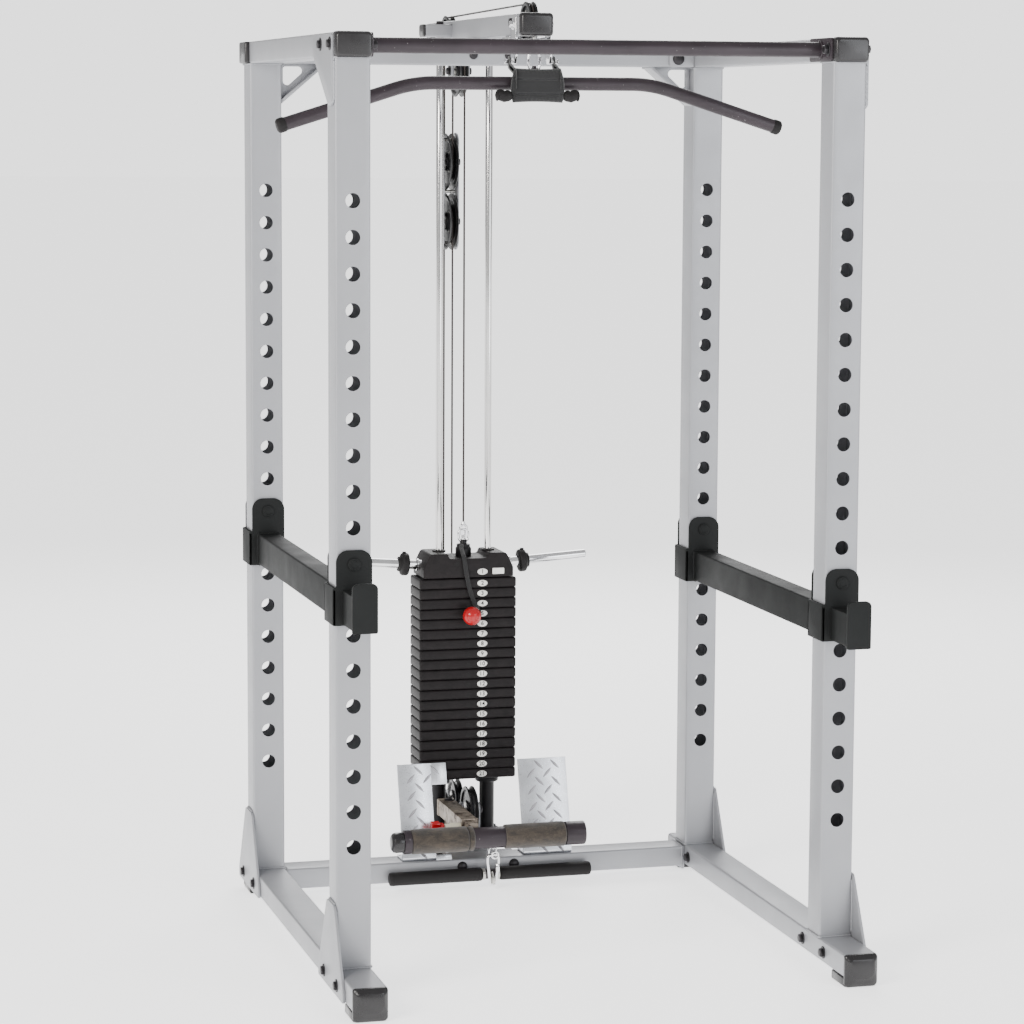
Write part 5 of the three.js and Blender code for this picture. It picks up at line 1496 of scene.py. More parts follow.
def build_top_plate():
    """Head plate with its notch, stem, swivel shackle, sticker, horns and collars."""
    z0, z1, w, n = STACK_TOP, TOP_TOP, 116.0, 98.0
    corners = [(-w, z0), (w, z0), (w, z0 + 24), (n, z1), (52, z1), (50, z1 - 13), (-50, z1 - 13),
               (-52, z1), (-n, z1), (-w, z0 + 24)]
    outline = rounded_outline(corners, [3, 3, 8, 12, 10, 8, 8, 10, 12, 8], 6)
    head = Shape()
    prism(head, outline, 1, PLATE_FRONT, PLATE_BACK)
    for side in (-1, 1):
        lathe(head, [(10.6, z1 - 1), (17, z1 - 1), (17, z1 + 2.5), (15.5, z1 + 4), (10.6, z1 + 4)],
              (side * ROD_X, ROD_Y, 0), 2, 32, ring=True)
    put_mesh("head_plate", head, FINISHES["iron"], "stack", bevel=3.2, segments=3,
             replaces=("top_plate",), smooth=40)
    detail = Shape()
    lathe(detail, [(5.2, -0.9), (6.8, -0.9), (6.8, 1), (5.2, 1)], (-30, PLATE_FRONT, z0 + 36), 1,
          24, ring=True)
    # painted shade: this dark disc inside the rim stands for the hole; the head plate is solid
    # there
    lathe(detail, [(0, -0.3), (5.3, -0.3), (5.3, 1), (0, 1)], (-30, PLATE_FRONT, z0 + 36), 1, 20)
    lathe(detail, [(5.6, -1.1), (7.2, -0.8), (7.2, 1), (5.6, 1)], (0, PLATE_FRONT, z0 + 13), 1, 24,
          ring=True)
    put_mesh("head_plate_hole_shade", detail, FINISHES["rubber"], "stack")
    tags, ink = Shape(), Shape()
    prism(tags, oval(36, z0 + 14, 13, 7.8), 1, PLATE_FRONT - 0.7, PLATE_FRONT + 0.4)
    note = rounded_outline([(62, z0 + 7), (92, z0 + 7), (92, z0 + 22), (62, z0 + 22)], [1.5] * 4)
    prism(tags, note, 1, PLATE_FRONT - 0.5, PLATE_FRONT + 0.4)
    put_mesh("head_plate_labels", tags, FINISHES["label"], "stack", bevel=0.15)
    numeral(ink, "1", 36, PLATE_FRONT - 0.85, z0 + 14, 14.5)
    put_mesh("head_plate_numbers", ink, FINISHES["ink"], "stack", recalc=False)
    high = span("stack_stem")[1][2]
    neck = z1 + 15
    stem, fittings = Shape(), Shape()
    lathe(stem, [(0, z1 - 13), (20, z1 - 13), (20, neck - 8), (17, neck - 4), (17, neck + 2),
                 (9, neck + 4), (9, neck + 14), (0, neck + 14)], (0, ROD_Y, 0), 2, 32)
    put_mesh("stem_head", stem, FINISHES["sleeve"], "stack", bevel=0.6,
             replaces=("stack_stem",))
    round_bar(fittings, [(0, ROD_Y, neck + 8), (0, ROD_Y, neck + 22)], 6, 24, 0.4, (1, 0, 0))
    ring_link(fittings, (0, ROD_Y, neck + 24), 12.5, 15, 3.4)
    ring_link(fittings, (0, ROD_Y, high - 12), 9, 13, 2.8)
    for dx in (-6, 6):
        lathe(fittings, [(0, neck + 26), (4.5, neck + 26), (4.5, neck + 38), (0, neck + 38)],
              (dx, ROD_Y - 4, 0), 2, 6)
    lathe(fittings, [(0, high - 6), (5, high - 5), (6, high - 1), (5, high + 4), (3.4, high + 9)],
          (0, ROD_Y, 0), 2, 24)
    put_mesh("stem_swivel", fittings, FINISHES["chrome"], "stack", smooth=50)
    tilt = math.radians(4)
    horn_z = z0 + 28
    for tag, side in SIDES:
        ahead = np.array([side * math.cos(tilt), 0, math.sin(tilt)])
        root = np.array([side * 100.0, ROD_Y, horn_z])
        horn, collar = Shape(), Shape()
        round_bar(horn, [root - ahead * 10, root + ahead * 60, root + ahead * 220.5], 12, 36, 0.22,
                  (0, 1, 0))
        lathe_along(horn, [(13.4, 17), (15, 18), (15, 22), (13.4, 23)], root, ahead, 32)
        put_mesh("horn_" + tag, horn, FINISHES["chrome"], "stack", smooth=50,
                 replaces=("plate_horn_" + tag,))
        lathe_along(collar, [(12.6, 42.4), (21, 42.4), (26.5, 44), (28.5, 47), (28.5, 58),
                             (26, 61.5), (19, 64), (18, 69.5), (12.6, 69.5)], root, ahead, 40)
        screw = root + ahead * 53
        lathe(collar, [(0, 27), (5, 27), (5, 31.5), (0, 31.5)], screw, 2, 20)
        put_mesh("collar_" + tag, collar, FINISHES["rubber"], "stack", bevel=0.7,
                 replaces=("horn_collar_" + tag,))


def lathe_along(shape, profile, origin, ahead, seg=32):
    """A closed ring profile of (radius, distance) turned about any direction."""
    p = closed(np.asarray(profile, dtype=float))
    one = np.cross(ahead, AXES[1])
    one /= np.linalg.norm(one)
    two = np.cross(ahead, one)
    a = np.arange(seg) * 2 * np.pi / seg
    rim = np.cos(a)[:, None] * one + np.sin(a)[:, None] * two
    points = np.asarray(origin) + p[:, :1, None] * rim + p[:, 1:, None] * ahead
    return shape.add(points, [grid_faces(seg, len(p), True)])


def build_selector():
    """Selector pin with its red ball knob, and the strap that keeps it by the stack."""
    y = span("selector_pin")[0][1] + 23.5
    s, pin = Shape(), Shape()
    t = np.linspace(0, np.pi, 25)
    ball = np.column_stack([23.3 * np.sin(t), -23.3 * np.cos(t)])
    ball = ball[ball[:, 1] < 17]
    lathe(s, np.concatenate([ball, [(11, 17.5), (11, 19), (0, 19)]]), (0, y, PIN_Z), 1, 48)
    put_mesh("selector_knob", s, FINISHES["red"], "selector", smooth=50,
             replaces=("selector_pin",))
    lathe(pin, [(0, 18), (5, 18), (5, 72), (3.5, 74), (0, 74)], (0, y, PIN_Z), 1, 24)
    lathe(pin, [(5, 20), (8.6, 20), (8.6, 22), (5, 22)], (0, y, PIN_Z), 1, 24, ring=True)
    put_mesh("selector_shaft", pin, FINISHES["chrome"], "selector", bevel=0.3)
    start = (-9, ROD_Y - 20, TOP_TOP + 20)
    end = (17, y + 8, PIN_Z + 2)
    route = [start, (-13, PLATE_FRONT + 24, TOP_TOP + 12), (-13, PLATE_FRONT - 4, TOP_TOP - 8),
             (-8, PLATE_FRONT - 6, TOP_TOP - 46), (2, PLATE_FRONT - 5.5, TOP_TOP - 92),
             (16, PLATE_FRONT - 7, TOP_TOP - 132), (22, y + 12, PIN_Z + 8), end]
    strap = Shape()
    sweep(strap, smooth_path(route, 22, 6), rounded_rect(1.7, 11, 0.7, 3), (1, 0, 0.01))
    lathe(strap, [(0, -2.5), (5.5, -2.5), (5.5, 2.5), (0, 2.5)], (20, y + 8, PIN_Z + 5), 1, 20)
    put_mesh("selector_strap", strap, FINISHES["strap"],
             ("stack", "selector", place(*start), place(*end)), smooth=50)


# ------------------------------------------------------------------ cable station, bottom
def build_station_base():
    """Base beam of the station with its feet, brackets, rod plate and the lug for the cable's
    anchor.
    """
    k = sizes()
    low_r, low_f = middle("pulley_low_rear"), middle("pulley_low_front")
    y0, y1 = REAR_Y + POST + 0.3, span("lat_base")[1][1]
    zm = (CROSS_LOW + CROSS_TOP) / 2
    tube = Shape()
    sweep(tube, [(0, y0 + 4, zm), (0, y1, zm)], rounded_rect(BEAM_W, CROSS_TOP - CROSS_LOW,
                                                            k["tube_corner"]))
    put_mesh("station_tube", tube, FINISHES["silver"], "cage",
             replaces=("lat_base",))
    plates, beads, heads, caps = Shape(), Shape(), Shape(), Shape()
    face = rounded_outline([(-86, CROSS_LOW), (86, CROSS_LOW), (86, CROSS_TOP), (-86, CROSS_TOP)],
                           [8] * 4)
    prism(plates, face, 1, y0, y0 + 8)
    foot = rounded_outline([(-70, y1 - 46), (70, y1 - 46), (70, y1 - 4), (-70, y1 - 4)], [6] * 4)
    prism(plates, foot, 2, 3.0, CROSS_LOW + 0.5)
    pad = rounded_outline([(-71, y1 - 47), (71, y1 - 47), (71, y1 - 3), (-71, y1 - 3)], [7] * 4)
    prism(caps, pad, 2, 0, 4.5)
    cap_loft(caps, BEAM_W + 1, CROSS_TOP - CROSS_LOW + 1, y1 - 8, 11, 1, (0, zm), 8, 6)
    deck = rounded_outline([(-104, ROD_Y - 50), (104, ROD_Y - 50), (104, ROD_Y + 50),
                            (-104, ROD_Y + 50)], [12] * 4)
    prism(plates, deck, 2, CROSS_TOP - 0.5, CROSS_TOP + 10)
    for side in (-1, 1):
        a, b = sorted((side * 18, side * 23))
        for c, w in ((low_r, 18), (low_f, 20)):
            bracket = rounded_outline([(c[1] - w, CROSS_TOP), (c[1] + w, CROSS_TOP),
                                       (c[1] + w, c[2] + 20), (c[1] - w, c[2] + 20)],
                                      [0, 0, 15, 15], 8)
            prism(plates, bracket, 0, a, b)
            bolt(heads, (side * 23, c[1], c[2]), 0, side, 17, 7)
        weld_bead(beads, [(side * (BEAM_W / 2 + 1), y0 + 9, CROSS_LOW + 6),
                          (side * (BEAM_W / 2 + 1), y0 + 9, CROSS_TOP - 5)], k["weld"])
        weld_bead(beads, [(side * (BEAM_W / 2 + 1), ROD_Y - 48, CROSS_TOP + 0),
                          (side * (BEAM_W / 2 + 1), ROD_Y + 48, CROSS_TOP + 0)], k["weld"])
        for x in (side * 88,):
            bolt(heads, (x, ROD_Y - 32, CROSS_TOP + 10), 2, 1, 15, 6)
            bolt(heads, (x, ROD_Y + 32, CROSS_TOP + 10), 2, 1, 15, 6)
    a_y = middle("pulley_float_upper")[1] + 43
    lug = rounded_outline([(a_y - 9, CROSS_TOP - 1), (a_y + 9, CROSS_TOP - 1),
                           (a_y + 9, CROSS_TOP + 29), (a_y - 9, CROSS_TOP + 29)], [0, 0, 8, 8])
    prism(plates, lug, 0, -8, 8)
    put_mesh("station_plates", plates, FINISHES["silver"], "cage", bevel=1.0)
    put_mesh("station_welds", beads, FINISHES["weld"], "cage", smooth=180)
    put_mesh("station_bolts", heads, FINISHES["bolt"], "cage", bevel=0.4)
    put_mesh("station_pads", caps, FINISHES["cap"], "cage", bevel=0.8)


ARM_X = -52.0


def build_arm():
    """Hold-down arm in its socket, with the spring pin and its red knob."""
    roll = middle("foam_right")
    y, z = roll[1], roll[2]
    pin_y, arm_z = middle("pop_pin")[1:]
    sy0, sy1 = pin_y - 12, ROD_Y - 23
    socket = Shape()
    for a, b in ((-20, -15.8), (15.8, 20)):
        slab(socket, ARM_X + a, ARM_X + b, sy0, sy1, arm_z - 20, arm_z + 20)
        slab(socket, ARM_X - 16.2, ARM_X + 16.2, sy0, sy1, arm_z + a, arm_z + b)
    slab(socket, ARM_X - 3, ARM_X + 16, sy1 - 76, sy1 - 6, CROSS_TOP - 22, arm_z - 19)
    slab(socket, -BEAM_W / 2 - 3, ARM_X + 16, sy1 - 76, sy1 - 6, CROSS_TOP - 24, CROSS_TOP - 6)
    for at in (sy0 + 2, sy1 - 12):
        sweep(socket, [(ARM_X, at - 2, arm_z), (ARM_X, at + 10, arm_z)],
              rounded_rect(43, 43, 3))
    put_mesh("arm_socket", socket, FINISHES["aged"], "cage", bevel=1.4, segments=3)
    barrel, knob, head = Shape(), Shape(), Shape()
    x0 = ARM_X - 20
    pin = (x0, pin_y, arm_z)
    lathe(barrel, [(6, 0), (11, 0), (11, -26), (9.5, -30), (9.5, -41), (6, -42)], pin, 0, 32,
          ring=True)
    put_mesh("pin_barrel", barrel, FINISHES["cream"], "cage", bevel=0.6)
    shaft = Shape()
    lathe(shaft, [(0, 3.8), (5, 3.8), (5, -45), (0, -45)], pin, 0, 20)
    put_mesh("pin_shaft", shaft, FINISHES["zinc"], "arm_pin", bevel=0.3)
    a = np.arange(60) * 2 * np.pi / 60
    lobe = 15.6 + 3.2 * np.cos(5 * a + 1.5)
    star = np.column_stack([pin_y + lobe * np.cos(a), arm_z + lobe * np.sin(a)])
    prism(knob, star, 0, x0 - 76, x0 - 54)
    lathe(knob, [(0, -43.2), (11, -43.2), (13, -48), (13, -55), (0, -55)], pin, 0, 32)
    put_mesh("pin_knob", knob, FINISHES["red"], "arm_pin", bevel=2.4, segments=3,
             replaces=("pop_pin",), smooth=40)
    bolt(head, (ARM_X + 5, sy1 - 24, arm_z + 20), 2, 1, 15, 6)
    bolt(head, (ARM_X + 16, sy1 - 40, CROSS_TOP + 8), 0, 1, 13, 5)
    put_mesh("socket_bolts", head, FINISHES["bolt"], "cage", bevel=0.4)
    arm, rod = Shape(), Shape()
    sweep(arm, [(ARM_X, y + 12, arm_z), (ARM_X, sy1 - 8, arm_z)], rounded_rect(30, 30, 3.5))
    put_mesh("arm_tube", arm, FINISHES["aged"], "arm", replaces=("hold_down_arm",))
    left, right = span("hold_down_arm")[0][0], span("hold_down_arm")[1][0]
    lathe(rod, [(24.8, left + 20), (24.8, right - 2)], (0, y, z), 0, 40)
    lathe(rod, [(0, ARM_X - 15), (26.2, ARM_X - 15), (26.2, 24), (0, 24)], (0, y, z), 0, 48)
    for a, b in ((left + 31, left + 49), (180, right)):
        lathe(rod, [(0, a), (28.2, a), (29, a + 1), (29, b - 1), (28.2, b), (0, b)], (0, y, z), 0,
              48)
    weld_bead(rod, [(ARM_X - 14, y + 16, z + 20), (ARM_X + 14, y + 16, z + 20)], 3)
    put_mesh("roller_bar", rod, FINISHES["bar"], "arm", bevel=0.5)
    plugs = Shape()
    lathe(plugs, [(0, left + 32), (25, left + 32), (25, left + 13), (23.5, left + 6),
                  (18, left + 1.5), (10, left), (0, left)], (0, y, z), 0, 44)
    lathe(plugs, [(0, right - 2), (24, right - 2), (24, right + 0.8), (22, right + 1.6),
                  (0, right + 1.6)], (0, y, z), 0, 44)
    put_mesh("roller_plugs", plugs, FINISHES["cap"], "arm", bevel=0.5)
    foam_sleeve("foam_wrap", ARM_X - 15, ARM_X - 1, y, z, "arm")
    for tag in ("left", "right"):
        low, high = span("foam_" + tag)
        foam_sleeve("foam_sleeve_" + tag, low[0], high[0], y, z, "roller_" + tag, "foam_" + tag)


FOAM_R, FOAM_BORE, FOAM_EDGE = 30.3, 25.6, 4.5    # outside, inside, rounding of the ends


def foam_sleeve(name, x0, x1, y, z, body, node=None):
    """A foam tube: radius = outside radius, rounded at both ends by a superellipse, with slow
    dents and a fine roughness made of sine waves of the turn and the length."""
    across, along = 96, int((x1 - x0) / 2.2)
    a = np.arange(across) * 2 * np.pi / across
    t = np.linspace(0, 1, along)
    A, T = np.meshgrid(a, t)
    x = x0 + (x1 - x0) * T
    edge = np.minimum(T, 1 - T) * (x1 - x0)
    near = 1 - np.clip(edge / FOAM_EDGE, 0, 1)
    rounding = FOAM_EDGE * (1 - np.sqrt(np.clip(1 - near ** 2, 0, 1)))
    dent = (0.5 * np.sin(2 * A + x * 0.045) * np.sin(x * 0.031 + 1.0)
            + 0.25 * np.sin(5 * A - x * 0.11))
    fine = 0.14 * np.sin(23 * A + x * 0.9) * np.sin(x * 1.7 + 3 * A)
    r = FOAM_R - rounding + dent + fine
    outer = np.stack([x, y + r * np.cos(A), z + r * np.sin(A)], -1).reshape(-1, 3)
    rings = [np.stack([np.full(across, end), y + FOAM_BORE * np.cos(a),
                       z + FOAM_BORE * np.sin(a)], -1) for end in (x1, x0)]
    s = Shape()
    points = np.concatenate([outer] + rings)
    n = across * along
    k = np.arange(across)
    nxt = (k + 1) % across
    last = (along - 1) * across
    faces = [grid_faces(across, along, True),
             np.stack([last + k, last + nxt, n + nxt, n + k], -1),
             np.stack([n + k, n + nxt, n + across + nxt, n + across + k], -1),
             np.stack([n + across + k, n + across + nxt, nxt, k], -1)]
    s.add(points, faces)
    piece = put_mesh(name, s, FINISHES["foam"], body, smooth=60,
                     replaces=(node,) if node else ())


def build_row_bar():
    """Straight row bar with sleeved ends and the snap link that joins it to the cable."""
    high = span("row_bar")[1]
    half = high[0]
    y, z = high[1] - 17, 33.0
    bar, grips, link = Shape(), Shape(), Shape()
    lathe(bar, [(12.5, -half + 4), (12.5, half - 4)], (0, y, z), 0, 36)
    put_mesh("row_rod", bar, FINISHES["bar"], "row", replaces=("row_bar",))
    for side in (-1, 1):
        path = [(side * 22, y, z), (side * 60, y, z), (side * (half - 2), y, z)]
        round_bar(grips, path, 16.6, 36, 0.3)
        for x in (30, 34, half - 14):
            lathe(grips, [(16.4, side * x), (17, side * (x + 0.8)), (17, side * (x + 2.2)),
                          (16.4, side * (x + 3))], (0, y, z), 0, 36)
    put_mesh("row_grips", grips, FINISHES["rubber"], "row", smooth=50)
    collar = Shape()
    for side in (-1, 1):
        lathe(collar, [(12.4, side * 14), (14, side * 15), (14, side * 21), (12.4, side * 22)],
              (0, y, z), 0, 32)
    put_mesh("row_collars", collar, FINISHES["zinc"], "row")
    link_y = y - 25
    tail_z = middle("cable_row_tail")[2]
    eye = Shape()
    outline = rounded_outline([(y - 33, 9), (y - 8, 18), (y - 8, 44), (y - 33, 30)], [9, 4, 4, 9])
    prism(eye, outline, 0, -3.2, 3.2)
    put_mesh("row_eye", eye, FINISHES["zinc"], "row", bevel=1.2)
    top, base = tail_z - 6, 7.0
    pear = smooth_path([(0, link_y, top - 3.6), (-13.5, link_y, top - 4), (-14.2, link_y, top - 20),
                        (-6.5, link_y, base + 6), (0, link_y, base + 3.8), (6.5, link_y, base + 6),
                        (14.2, link_y, top - 20), (13.5, link_y, top - 4), (0, link_y, top - 3.6)],
                       7, 8)
    sweep(link, pear, circle(3.8, 14), (0, 1, 0))
    lathe(link, [(3.9, 0), (5.6, 1), (5.6, 20), (3.9, 21)], (11.8, link_y, top - 46), 2, 20)
    ring_link(link, (0, link_y + 6, tail_z - 2), 9, 10, 2.8)
    ring_link(link, (4, link_y - 5, tail_z - 9), 8, 8, 2.4)
    put_mesh("row_link", link, FINISHES["chrome"], "row", smooth=60)


def build_foot_plates():
    """Two leaning tread plates: a folded sheet with lens-shaped bars, whose rows lean one way
    and then the other. The bars wear a darker copy of the plate's metal as painted shade."""
    lean = math.radians(16)
    for tag, side in SIDES:
        low, high = span("foot_plate_" + tag)
        y0, z0 = low[1], low[2]
        t = 5.0
        rise = (high[2] - low[2])
        length = rise / math.cos(lean)
        dy, dz = math.sin(lean), math.cos(lean)
        profile = [(y0, z0), (y0 + 64, z0), (y0 + 64, z0 + t),
                   (y0 + t / dz + dy * t / dz + 0.5, z0 + t),
                   (y0 + length * dy + t * dz, z0 + length * dz - t * dy),
                   (y0 + length * dy, z0 + length * dz)]
        sheet = Shape()
        notch, notch_top = (39.0, 248.0) if side < 0 else (0.0, 0.0)
        bend_profile = rounded_outline(profile, [7, 1, 1, 4, 1, 1], 6)
        if notch:
            cut = (notch_top - z0) / dz
            prism(sheet, bend_profile, 0, low[0], high[0] - notch)
            head = [(y0 + cut * dy, z0 + cut * dz),
                    (y0 + cut * dy + t * dz, z0 + cut * dz - t * dy), profile[4], profile[5]]
            prism(sheet, head, 0, high[0] - notch - 0.5, high[0])
            foot = [(y0, z0), (y0 + 64, z0), (y0 + 64, z0 + t), (y0 + t, z0 + t), (y0 + 4, z0 + 14)]
            prism(sheet, foot, 0, high[0] - notch - 0.5, high[0])
        else:
            prism(sheet, bend_profile, 0, low[0], high[0])
        put_mesh("tread_" + tag, sheet, FINISHES["tread"], "cage", bevel=0.9,
                 replaces=("foot_plate_" + tag,))
        bars = Shape()
        step, m = 20.8, 11
        u = np.linspace(-1, 1, m)
        for i in range(-1, 8):
            for j in range(-1, 14):
                if (i + j) % 2:
                    continue
                cx, cs = low[0] + (i + 0.55) * step, (j + 0.7) * step
                angle = math.radians(46 if j % 2 else -46)
                inside = low[0] + 13 < cx < high[0] - 13 and 13 < cs < length - 13
                gone = notch and cx > high[0] - notch - 13 and cs < (notch_top - z0) / dz + 13
                if not inside or gone:
                    continue
                ca, sa = math.cos(angle), math.sin(angle)
                w = 3.4 * (1 - u ** 2)
                across = np.stack([np.stack([u * 17, v * w], 1) for v in (-1, -0.45, 0.45, 1)])
                lift = np.stack([np.zeros(m), 2.0 * (1 - u ** 4), 2.0 * (1 - u ** 4), np.zeros(m)])
                gx = cx + across[..., 0] * ca - across[..., 1] * sa
                gs = cs + across[..., 0] * sa + across[..., 1] * ca
                out = lift - 0.1
                y = y0 + gs * dy - out * dz
                z = z0 + gs * dz + out * dy
                bars.add(np.stack([gx, y, z], -1).reshape(-1, 3), [grid_faces(m, 4)])
        # painted shade: the bars' darker finish stands in for the shade on them
        put_mesh("tread_bars_" + tag, bars, FINISHES["tread_bar"], "cage", smooth=30,
                 recalc=False)
        heads = Shape()
        for x in (low[0] + 25, high[0] - 25):
            bolt(heads, (x, y0 + 40, z0 + t), 2, 1, 13, 5)
        put_mesh("tread_bolts_" + tag, heads, FINISHES["bolt"], "cage", bevel=0.3)


# ------------------------------------------------------------------ stage
def area_light(name, location, target, size, power, colour=(1, 1, 1)):
    """A square soft light aimed at a point."""
    data = bpy.data.lights.new(name, "AREA")
    data.energy = power
    data.size = size
    data.color = colour
    light = bpy.data.objects.new(name, data)
    light.location = location
    aim = Vector(target) - Vector(location)
    light.rotation_euler = aim.to_track_quat("-Z", "Y").to_euler()
    bpy.context.scene.collection.objects.link(light)


FLOOR_REACH = 400.0                     # half size of the floor, in metres
FLOOR_GLOW, AMBIENT, BACKDROP = 1.5, 0.62, 2.15
FOCAL = 3183 / 1024                     # focal length as a share of the sensor's width
SENSOR = 36                             # sensor width in millimetres
EYE = (-1989, -6492, 1881)
YAW, PITCH, ROLL = (math.radians(angle) for angle in (15.38, 7.05, 0.27))


def build_stage():
    """Pale floor, soft lights and the camera."""
    floor = bpy.data.meshes.new("floor")
    level = -0.0005
    corners = [(x * FLOOR_REACH, y * FLOOR_REACH, level)
               for x, y in ((-1, -1), (1, -1), (1, 1), (-1, 1))]
    floor.from_pydata(corners, [], [(0, 1, 2, 3)])
    ground = bpy.data.objects.new("floor", floor)
    bpy.context.scene.collection.objects.link(ground)
    pale = bpy.data.materials.new("Floor")
    pale.use_nodes = True
    shader = pale.node_tree.nodes["Principled BSDF"]
    shader.inputs["Base Color"].default_value = (0.93, 0.93, 0.93, 1)
    shader.inputs["Emission Color"].default_value = (1, 1, 1, 1)
    shader.inputs["Emission Strength"].default_value = FLOOR_GLOW
    shader.inputs["Roughness"].default_value = 0.8
    floor.materials.append(pale)
    world = bpy.data.worlds.new("Studio")
    world.use_nodes = True
    tree = world.node_tree
    soft = tree.nodes["Background"]
    soft.inputs["Color"].default_value = (1, 1, 1, 1)
    soft.inputs["Strength"].default_value = AMBIENT
    wall = tree.nodes.new("ShaderNodeBackground")
    wall.inputs["Color"].default_value = (1, 1, 1, 1)
    wall.inputs["Strength"].default_value = BACKDROP
    seen = tree.nodes.new("ShaderNodeLightPath")
    choose = tree.nodes.new("ShaderNodeMixShader")
    tree.links.new(seen.outputs["Is Camera Ray"], choose.inputs[0])
    tree.links.new(soft.outputs[0], choose.inputs[1])
    tree.links.new(wall.outputs[0], choose.inputs[2])
    tree.links.new(choose.outputs[0], tree.nodes["World Output"].inputs["Surface"])
    bpy.context.scene.world = world
    aim = (0, 0, 1.0)
    area_light("key", (-4.6, -3.4, 3.6), aim, 2.6, 300, (1.0, 0.97, 0.93))
    area_light("fill", (3.2, -5.2, 2.4), aim, 3.0, 120, (0.93, 0.96, 1.0))
    area_light("back", (1.5, 4.5, 3.6), aim, 3.0, 180)
    camera = bpy.data.cameras.new("camera")
    camera.sensor_width = SENSOR
    camera.lens = SENSOR * FOCAL
    camera.clip_end = 100
    eye = bpy.data.objects.new("camera", camera)
    ahead = Vector((math.sin(YAW) * math.cos(PITCH), math.cos(YAW) * math.cos(PITCH),
                    -math.sin(PITCH)))
    right = Vector((math.cos(YAW), -math.sin(YAW), 0))
    up = right.cross(ahead)
    across = right * math.cos(ROLL) + up * math.sin(ROLL)
    lift = -right * math.sin(ROLL) + up * math.cos(ROLL)
    turn = Matrix((across, lift, -ahead)).transposed()
    eye.matrix_world = Matrix.Translation(place(*EYE)) @ turn.to_4x4()
    bpy.context.scene.collection.objects.link(eye)
    bpy.context.scene.camera = eye


# ------------------------------------------------------------------ operators
class POWERCAGE_OT_finishes(bpy.types.Operator):
    """Make every material"""
    bl_idname = "power_cage.finishes"
    bl_label = "Finishes"
    bl_options = {"REGISTER", "UNDO"}

    def execute(self, context):
        make_finishes()
        return {"FINISHED"}


class POWERCAGE_OT_stage(bpy.types.Operator):
    """Floor, lights and camera"""
    bl_idname = "power_cage.stage"
    bl_label = "Stage"
    bl_options = {"REGISTER", "UNDO"}

    def execute(self, context):
        build_stage()
        return {"FINISHED"}


class POWERCAGE_OT_posts(bpy.types.Operator):
    """Four posts with gussets"""
    bl_idname = "power_cage.posts"
    bl_label = "Posts"
    bl_options = {"REGISTER", "UNDO"}

    def execute(self, context):
        build_posts()
        return {"FINISHED"}


class POWERCAGE_OT_rails(bpy.types.Operator):
    """Base and roof tubes with end caps"""
    bl_idname = "power_cage.rails"
    bl_label = "Rails"
    bl_options = {"REGISTER", "UNDO"}

    def execute(self, context):
        build_base_and_roof()
        return {"FINISHED"}


class POWERCAGE_OT_cross_tubes(bpy.types.Operator):
    """Cross tubes with braces"""
    bl_idname = "power_cage.cross_tubes"
    bl_label = "Cross Tubes"
    bl_options = {"REGISTER", "UNDO"}

    def execute(self, context):
        build_cross_tubes()
        return {"FINISHED"}


class POWERCAGE_OT_chin_bar(bpy.types.Operator):
    """Chin-up bar"""
    bl_idname = "power_cage.chin_bar"
    bl_label = "Chin-up Bar"
    bl_options = {"REGISTER", "UNDO"}

    def execute(self, context):
        build_chin_bar()
        return {"FINISHED"}


class POWERCAGE_OT_bolts(bpy.types.Operator):
    """Frame bolts"""
    bl_idname = "power_cage.bolts"
    bl_label = "Bolts"
    bl_options = {"REGISTER", "UNDO"}

    def execute(self, context):
        build_bolts()
        return {"FINISHED"}


class POWERCAGE_OT_safeties(bpy.types.Operator):
    """Both safety arms"""
    bl_idname = "power_cage.safeties"
    bl_label = "Safety Arms"
    bl_options = {"REGISTER", "UNDO"}

    def execute(self, context):
        build_safeties()
        return {"FINISHED"}


class POWERCAGE_OT_beam(bpy.types.Operator):
    """Upper beam of the station"""
    bl_idname = "power_cage.beam"
    bl_label = "Beam"
    bl_options = {"REGISTER", "UNDO"}

    def execute(self, context):
        build_beam()
        return {"FINISHED"}


class POWERCAGE_OT_pulleys(bpy.types.Operator):
    """Pulleys and floating block"""
    bl_idname = "power_cage.pulleys"
    bl_label = "Pulleys"
    bl_options = {"REGISTER", "UNDO"}

    def execute(self, context):
        build_pulleys()
        return {"FINISHED"}


class POWERCAGE_OT_cables(bpy.types.Operator):
    """Every cable strand"""
    bl_idname = "power_cage.cables"
    bl_label = "Cables"
    bl_options = {"REGISTER", "UNDO"}

    def execute(self, context):
        build_cables()
        return {"FINISHED"}


class POWERCAGE_OT_hanger(bpy.types.Operator):
    """Strap hanger and snap link"""
    bl_idname = "power_cage.hanger"
    bl_label = "Hanger"
    bl_options = {"REGISTER", "UNDO"}

    def execute(self, context):
        build_hanger()
        build_clip()
        return {"FINISHED"}


class POWERCAGE_OT_strap(bpy.types.Operator):
    """Padded strap"""
    bl_idname = "power_cage.strap"
    bl_label = "Padded Strap"
    bl_options = {"REGISTER", "UNDO"}

    def execute(self, context):
        build_strap()
        return {"FINISHED"}


class POWERCAGE_OT_pull_bar(bpy.types.Operator):
    """Pull-down bar"""
    bl_idname = "power_cage.pull_bar"
    bl_label = "Pull-down Bar"
    bl_options = {"REGISTER", "UNDO"}

    def execute(self, context):
        build_pull_bar()
        return {"FINISHED"}


class POWERCAGE_OT_rods(bpy.types.Operator):
    """Rods and sleeves"""
    bl_idname = "power_cage.rods"
    bl_label = "Guide Rods"
    bl_options = {"REGISTER", "UNDO"}

    def execute(self, context):
        build_rods()
        return {"FINISHED"}


class POWERCAGE_OT_stack(bpy.types.Operator):
    """Plates, head plate and selector"""
    bl_idname = "power_cage.stack"
    bl_label = "Weight Stack"
    bl_options = {"REGISTER", "UNDO"}

    def execute(self, context):
        build_plates()
        build_top_plate()
        build_selector()
        return {"FINISHED"}


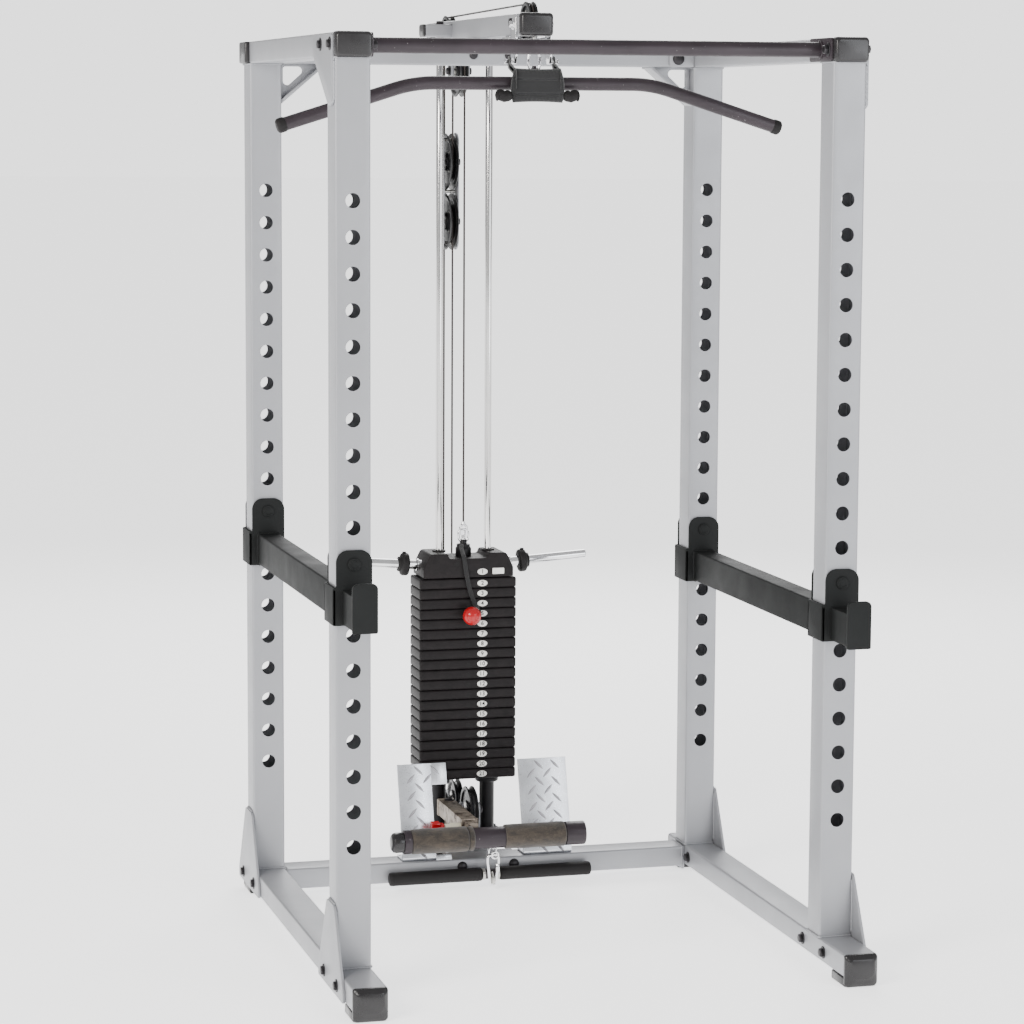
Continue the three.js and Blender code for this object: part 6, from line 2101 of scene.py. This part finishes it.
class POWERCAGE_OT_base(bpy.types.Operator):
    """Base of the cable station"""
    bl_idname = "power_cage.base"
    bl_label = "Station Base"
    bl_options = {"REGISTER", "UNDO"}

    def execute(self, context):
        build_station_base()
        return {"FINISHED"}


class POWERCAGE_OT_arm(bpy.types.Operator):
    """Arm, pin and foam roller"""
    bl_idname = "power_cage.arm"
    bl_label = "Hold-down Arm"
    bl_options = {"REGISTER", "UNDO"}

    def execute(self, context):
        build_arm()
        return {"FINISHED"}


class POWERCAGE_OT_row_bar(bpy.types.Operator):
    """Row bar with its link"""
    bl_idname = "power_cage.row_bar"
    bl_label = "Row Bar"
    bl_options = {"REGISTER", "UNDO"}

    def execute(self, context):
        build_row_bar()
        return {"FINISHED"}


class POWERCAGE_OT_foot_plates(bpy.types.Operator):
    """Leaning tread plates"""
    bl_idname = "power_cage.foot_plates"
    bl_label = "Foot Plates"
    bl_options = {"REGISTER", "UNDO"}

    def execute(self, context):
        build_foot_plates()
        return {"FINISHED"}


OPERATORS = (POWERCAGE_OT_finishes, POWERCAGE_OT_stage, POWERCAGE_OT_posts, POWERCAGE_OT_rails,
             POWERCAGE_OT_cross_tubes, POWERCAGE_OT_chin_bar, POWERCAGE_OT_bolts,
             POWERCAGE_OT_safeties, POWERCAGE_OT_beam, POWERCAGE_OT_pulleys, POWERCAGE_OT_cables,
             POWERCAGE_OT_hanger, POWERCAGE_OT_strap, POWERCAGE_OT_pull_bar, POWERCAGE_OT_rods,
             POWERCAGE_OT_stack, POWERCAGE_OT_base, POWERCAGE_OT_arm, POWERCAGE_OT_row_bar,
             POWERCAGE_OT_foot_plates)


class POWERCAGE_PT_panel(bpy.types.Panel):
    """Sidebar panel with the sizes, colours and pieces."""
    bl_idname = "POWERCAGE_PT_panel"
    bl_label = "Power Cage"
    bl_space_type = "VIEW_3D"
    bl_region_type = "UI"
    bl_category = "Power Cage"

    def draw(self, context):
        layout = self.layout
        for group in (context.scene.power_cage_sizes, context.scene.power_cage_colours):
            for key in group.__annotations__:
                layout.prop(group, key)
        for item in OPERATORS:
            layout.operator(item.bl_idname)


CLASSES = (PowerCageSizes, PowerCageColours, *OPERATORS, POWERCAGE_PT_panel)


def register():
    for item in CLASSES:
        bpy.utils.register_class(item)
    bpy.types.Scene.power_cage_sizes = bpy.props.PointerProperty(type=PowerCageSizes)
    bpy.types.Scene.power_cage_colours = bpy.props.PointerProperty(type=PowerCageColours)


def unregister():
    del bpy.types.Scene.power_cage_colours
    del bpy.types.Scene.power_cage_sizes
    for item in reversed(CLASSES):
        bpy.utils.unregister_class(item)


def main():
    register()
    bpy.ops.power_cage.finishes()
    bpy.ops.power_cage.stage()
    bpy.ops.power_cage.posts()
    bpy.ops.power_cage.rails()
    bpy.ops.power_cage.cross_tubes()
    bpy.ops.power_cage.chin_bar()
    bpy.ops.power_cage.bolts()
    bpy.ops.power_cage.safeties()
    bpy.ops.power_cage.beam()
    bpy.ops.power_cage.pulleys()
    bpy.ops.power_cage.cables()
    bpy.ops.power_cage.hanger()
    bpy.ops.power_cage.strap()
    bpy.ops.power_cage.pull_bar()
    bpy.ops.power_cage.rods()
    bpy.ops.power_cage.stack()
    bpy.ops.power_cage.base()
    bpy.ops.power_cage.arm()
    bpy.ops.power_cage.row_bar()
    bpy.ops.power_cage.foot_plates()


if __name__ == "__main__":
    main()
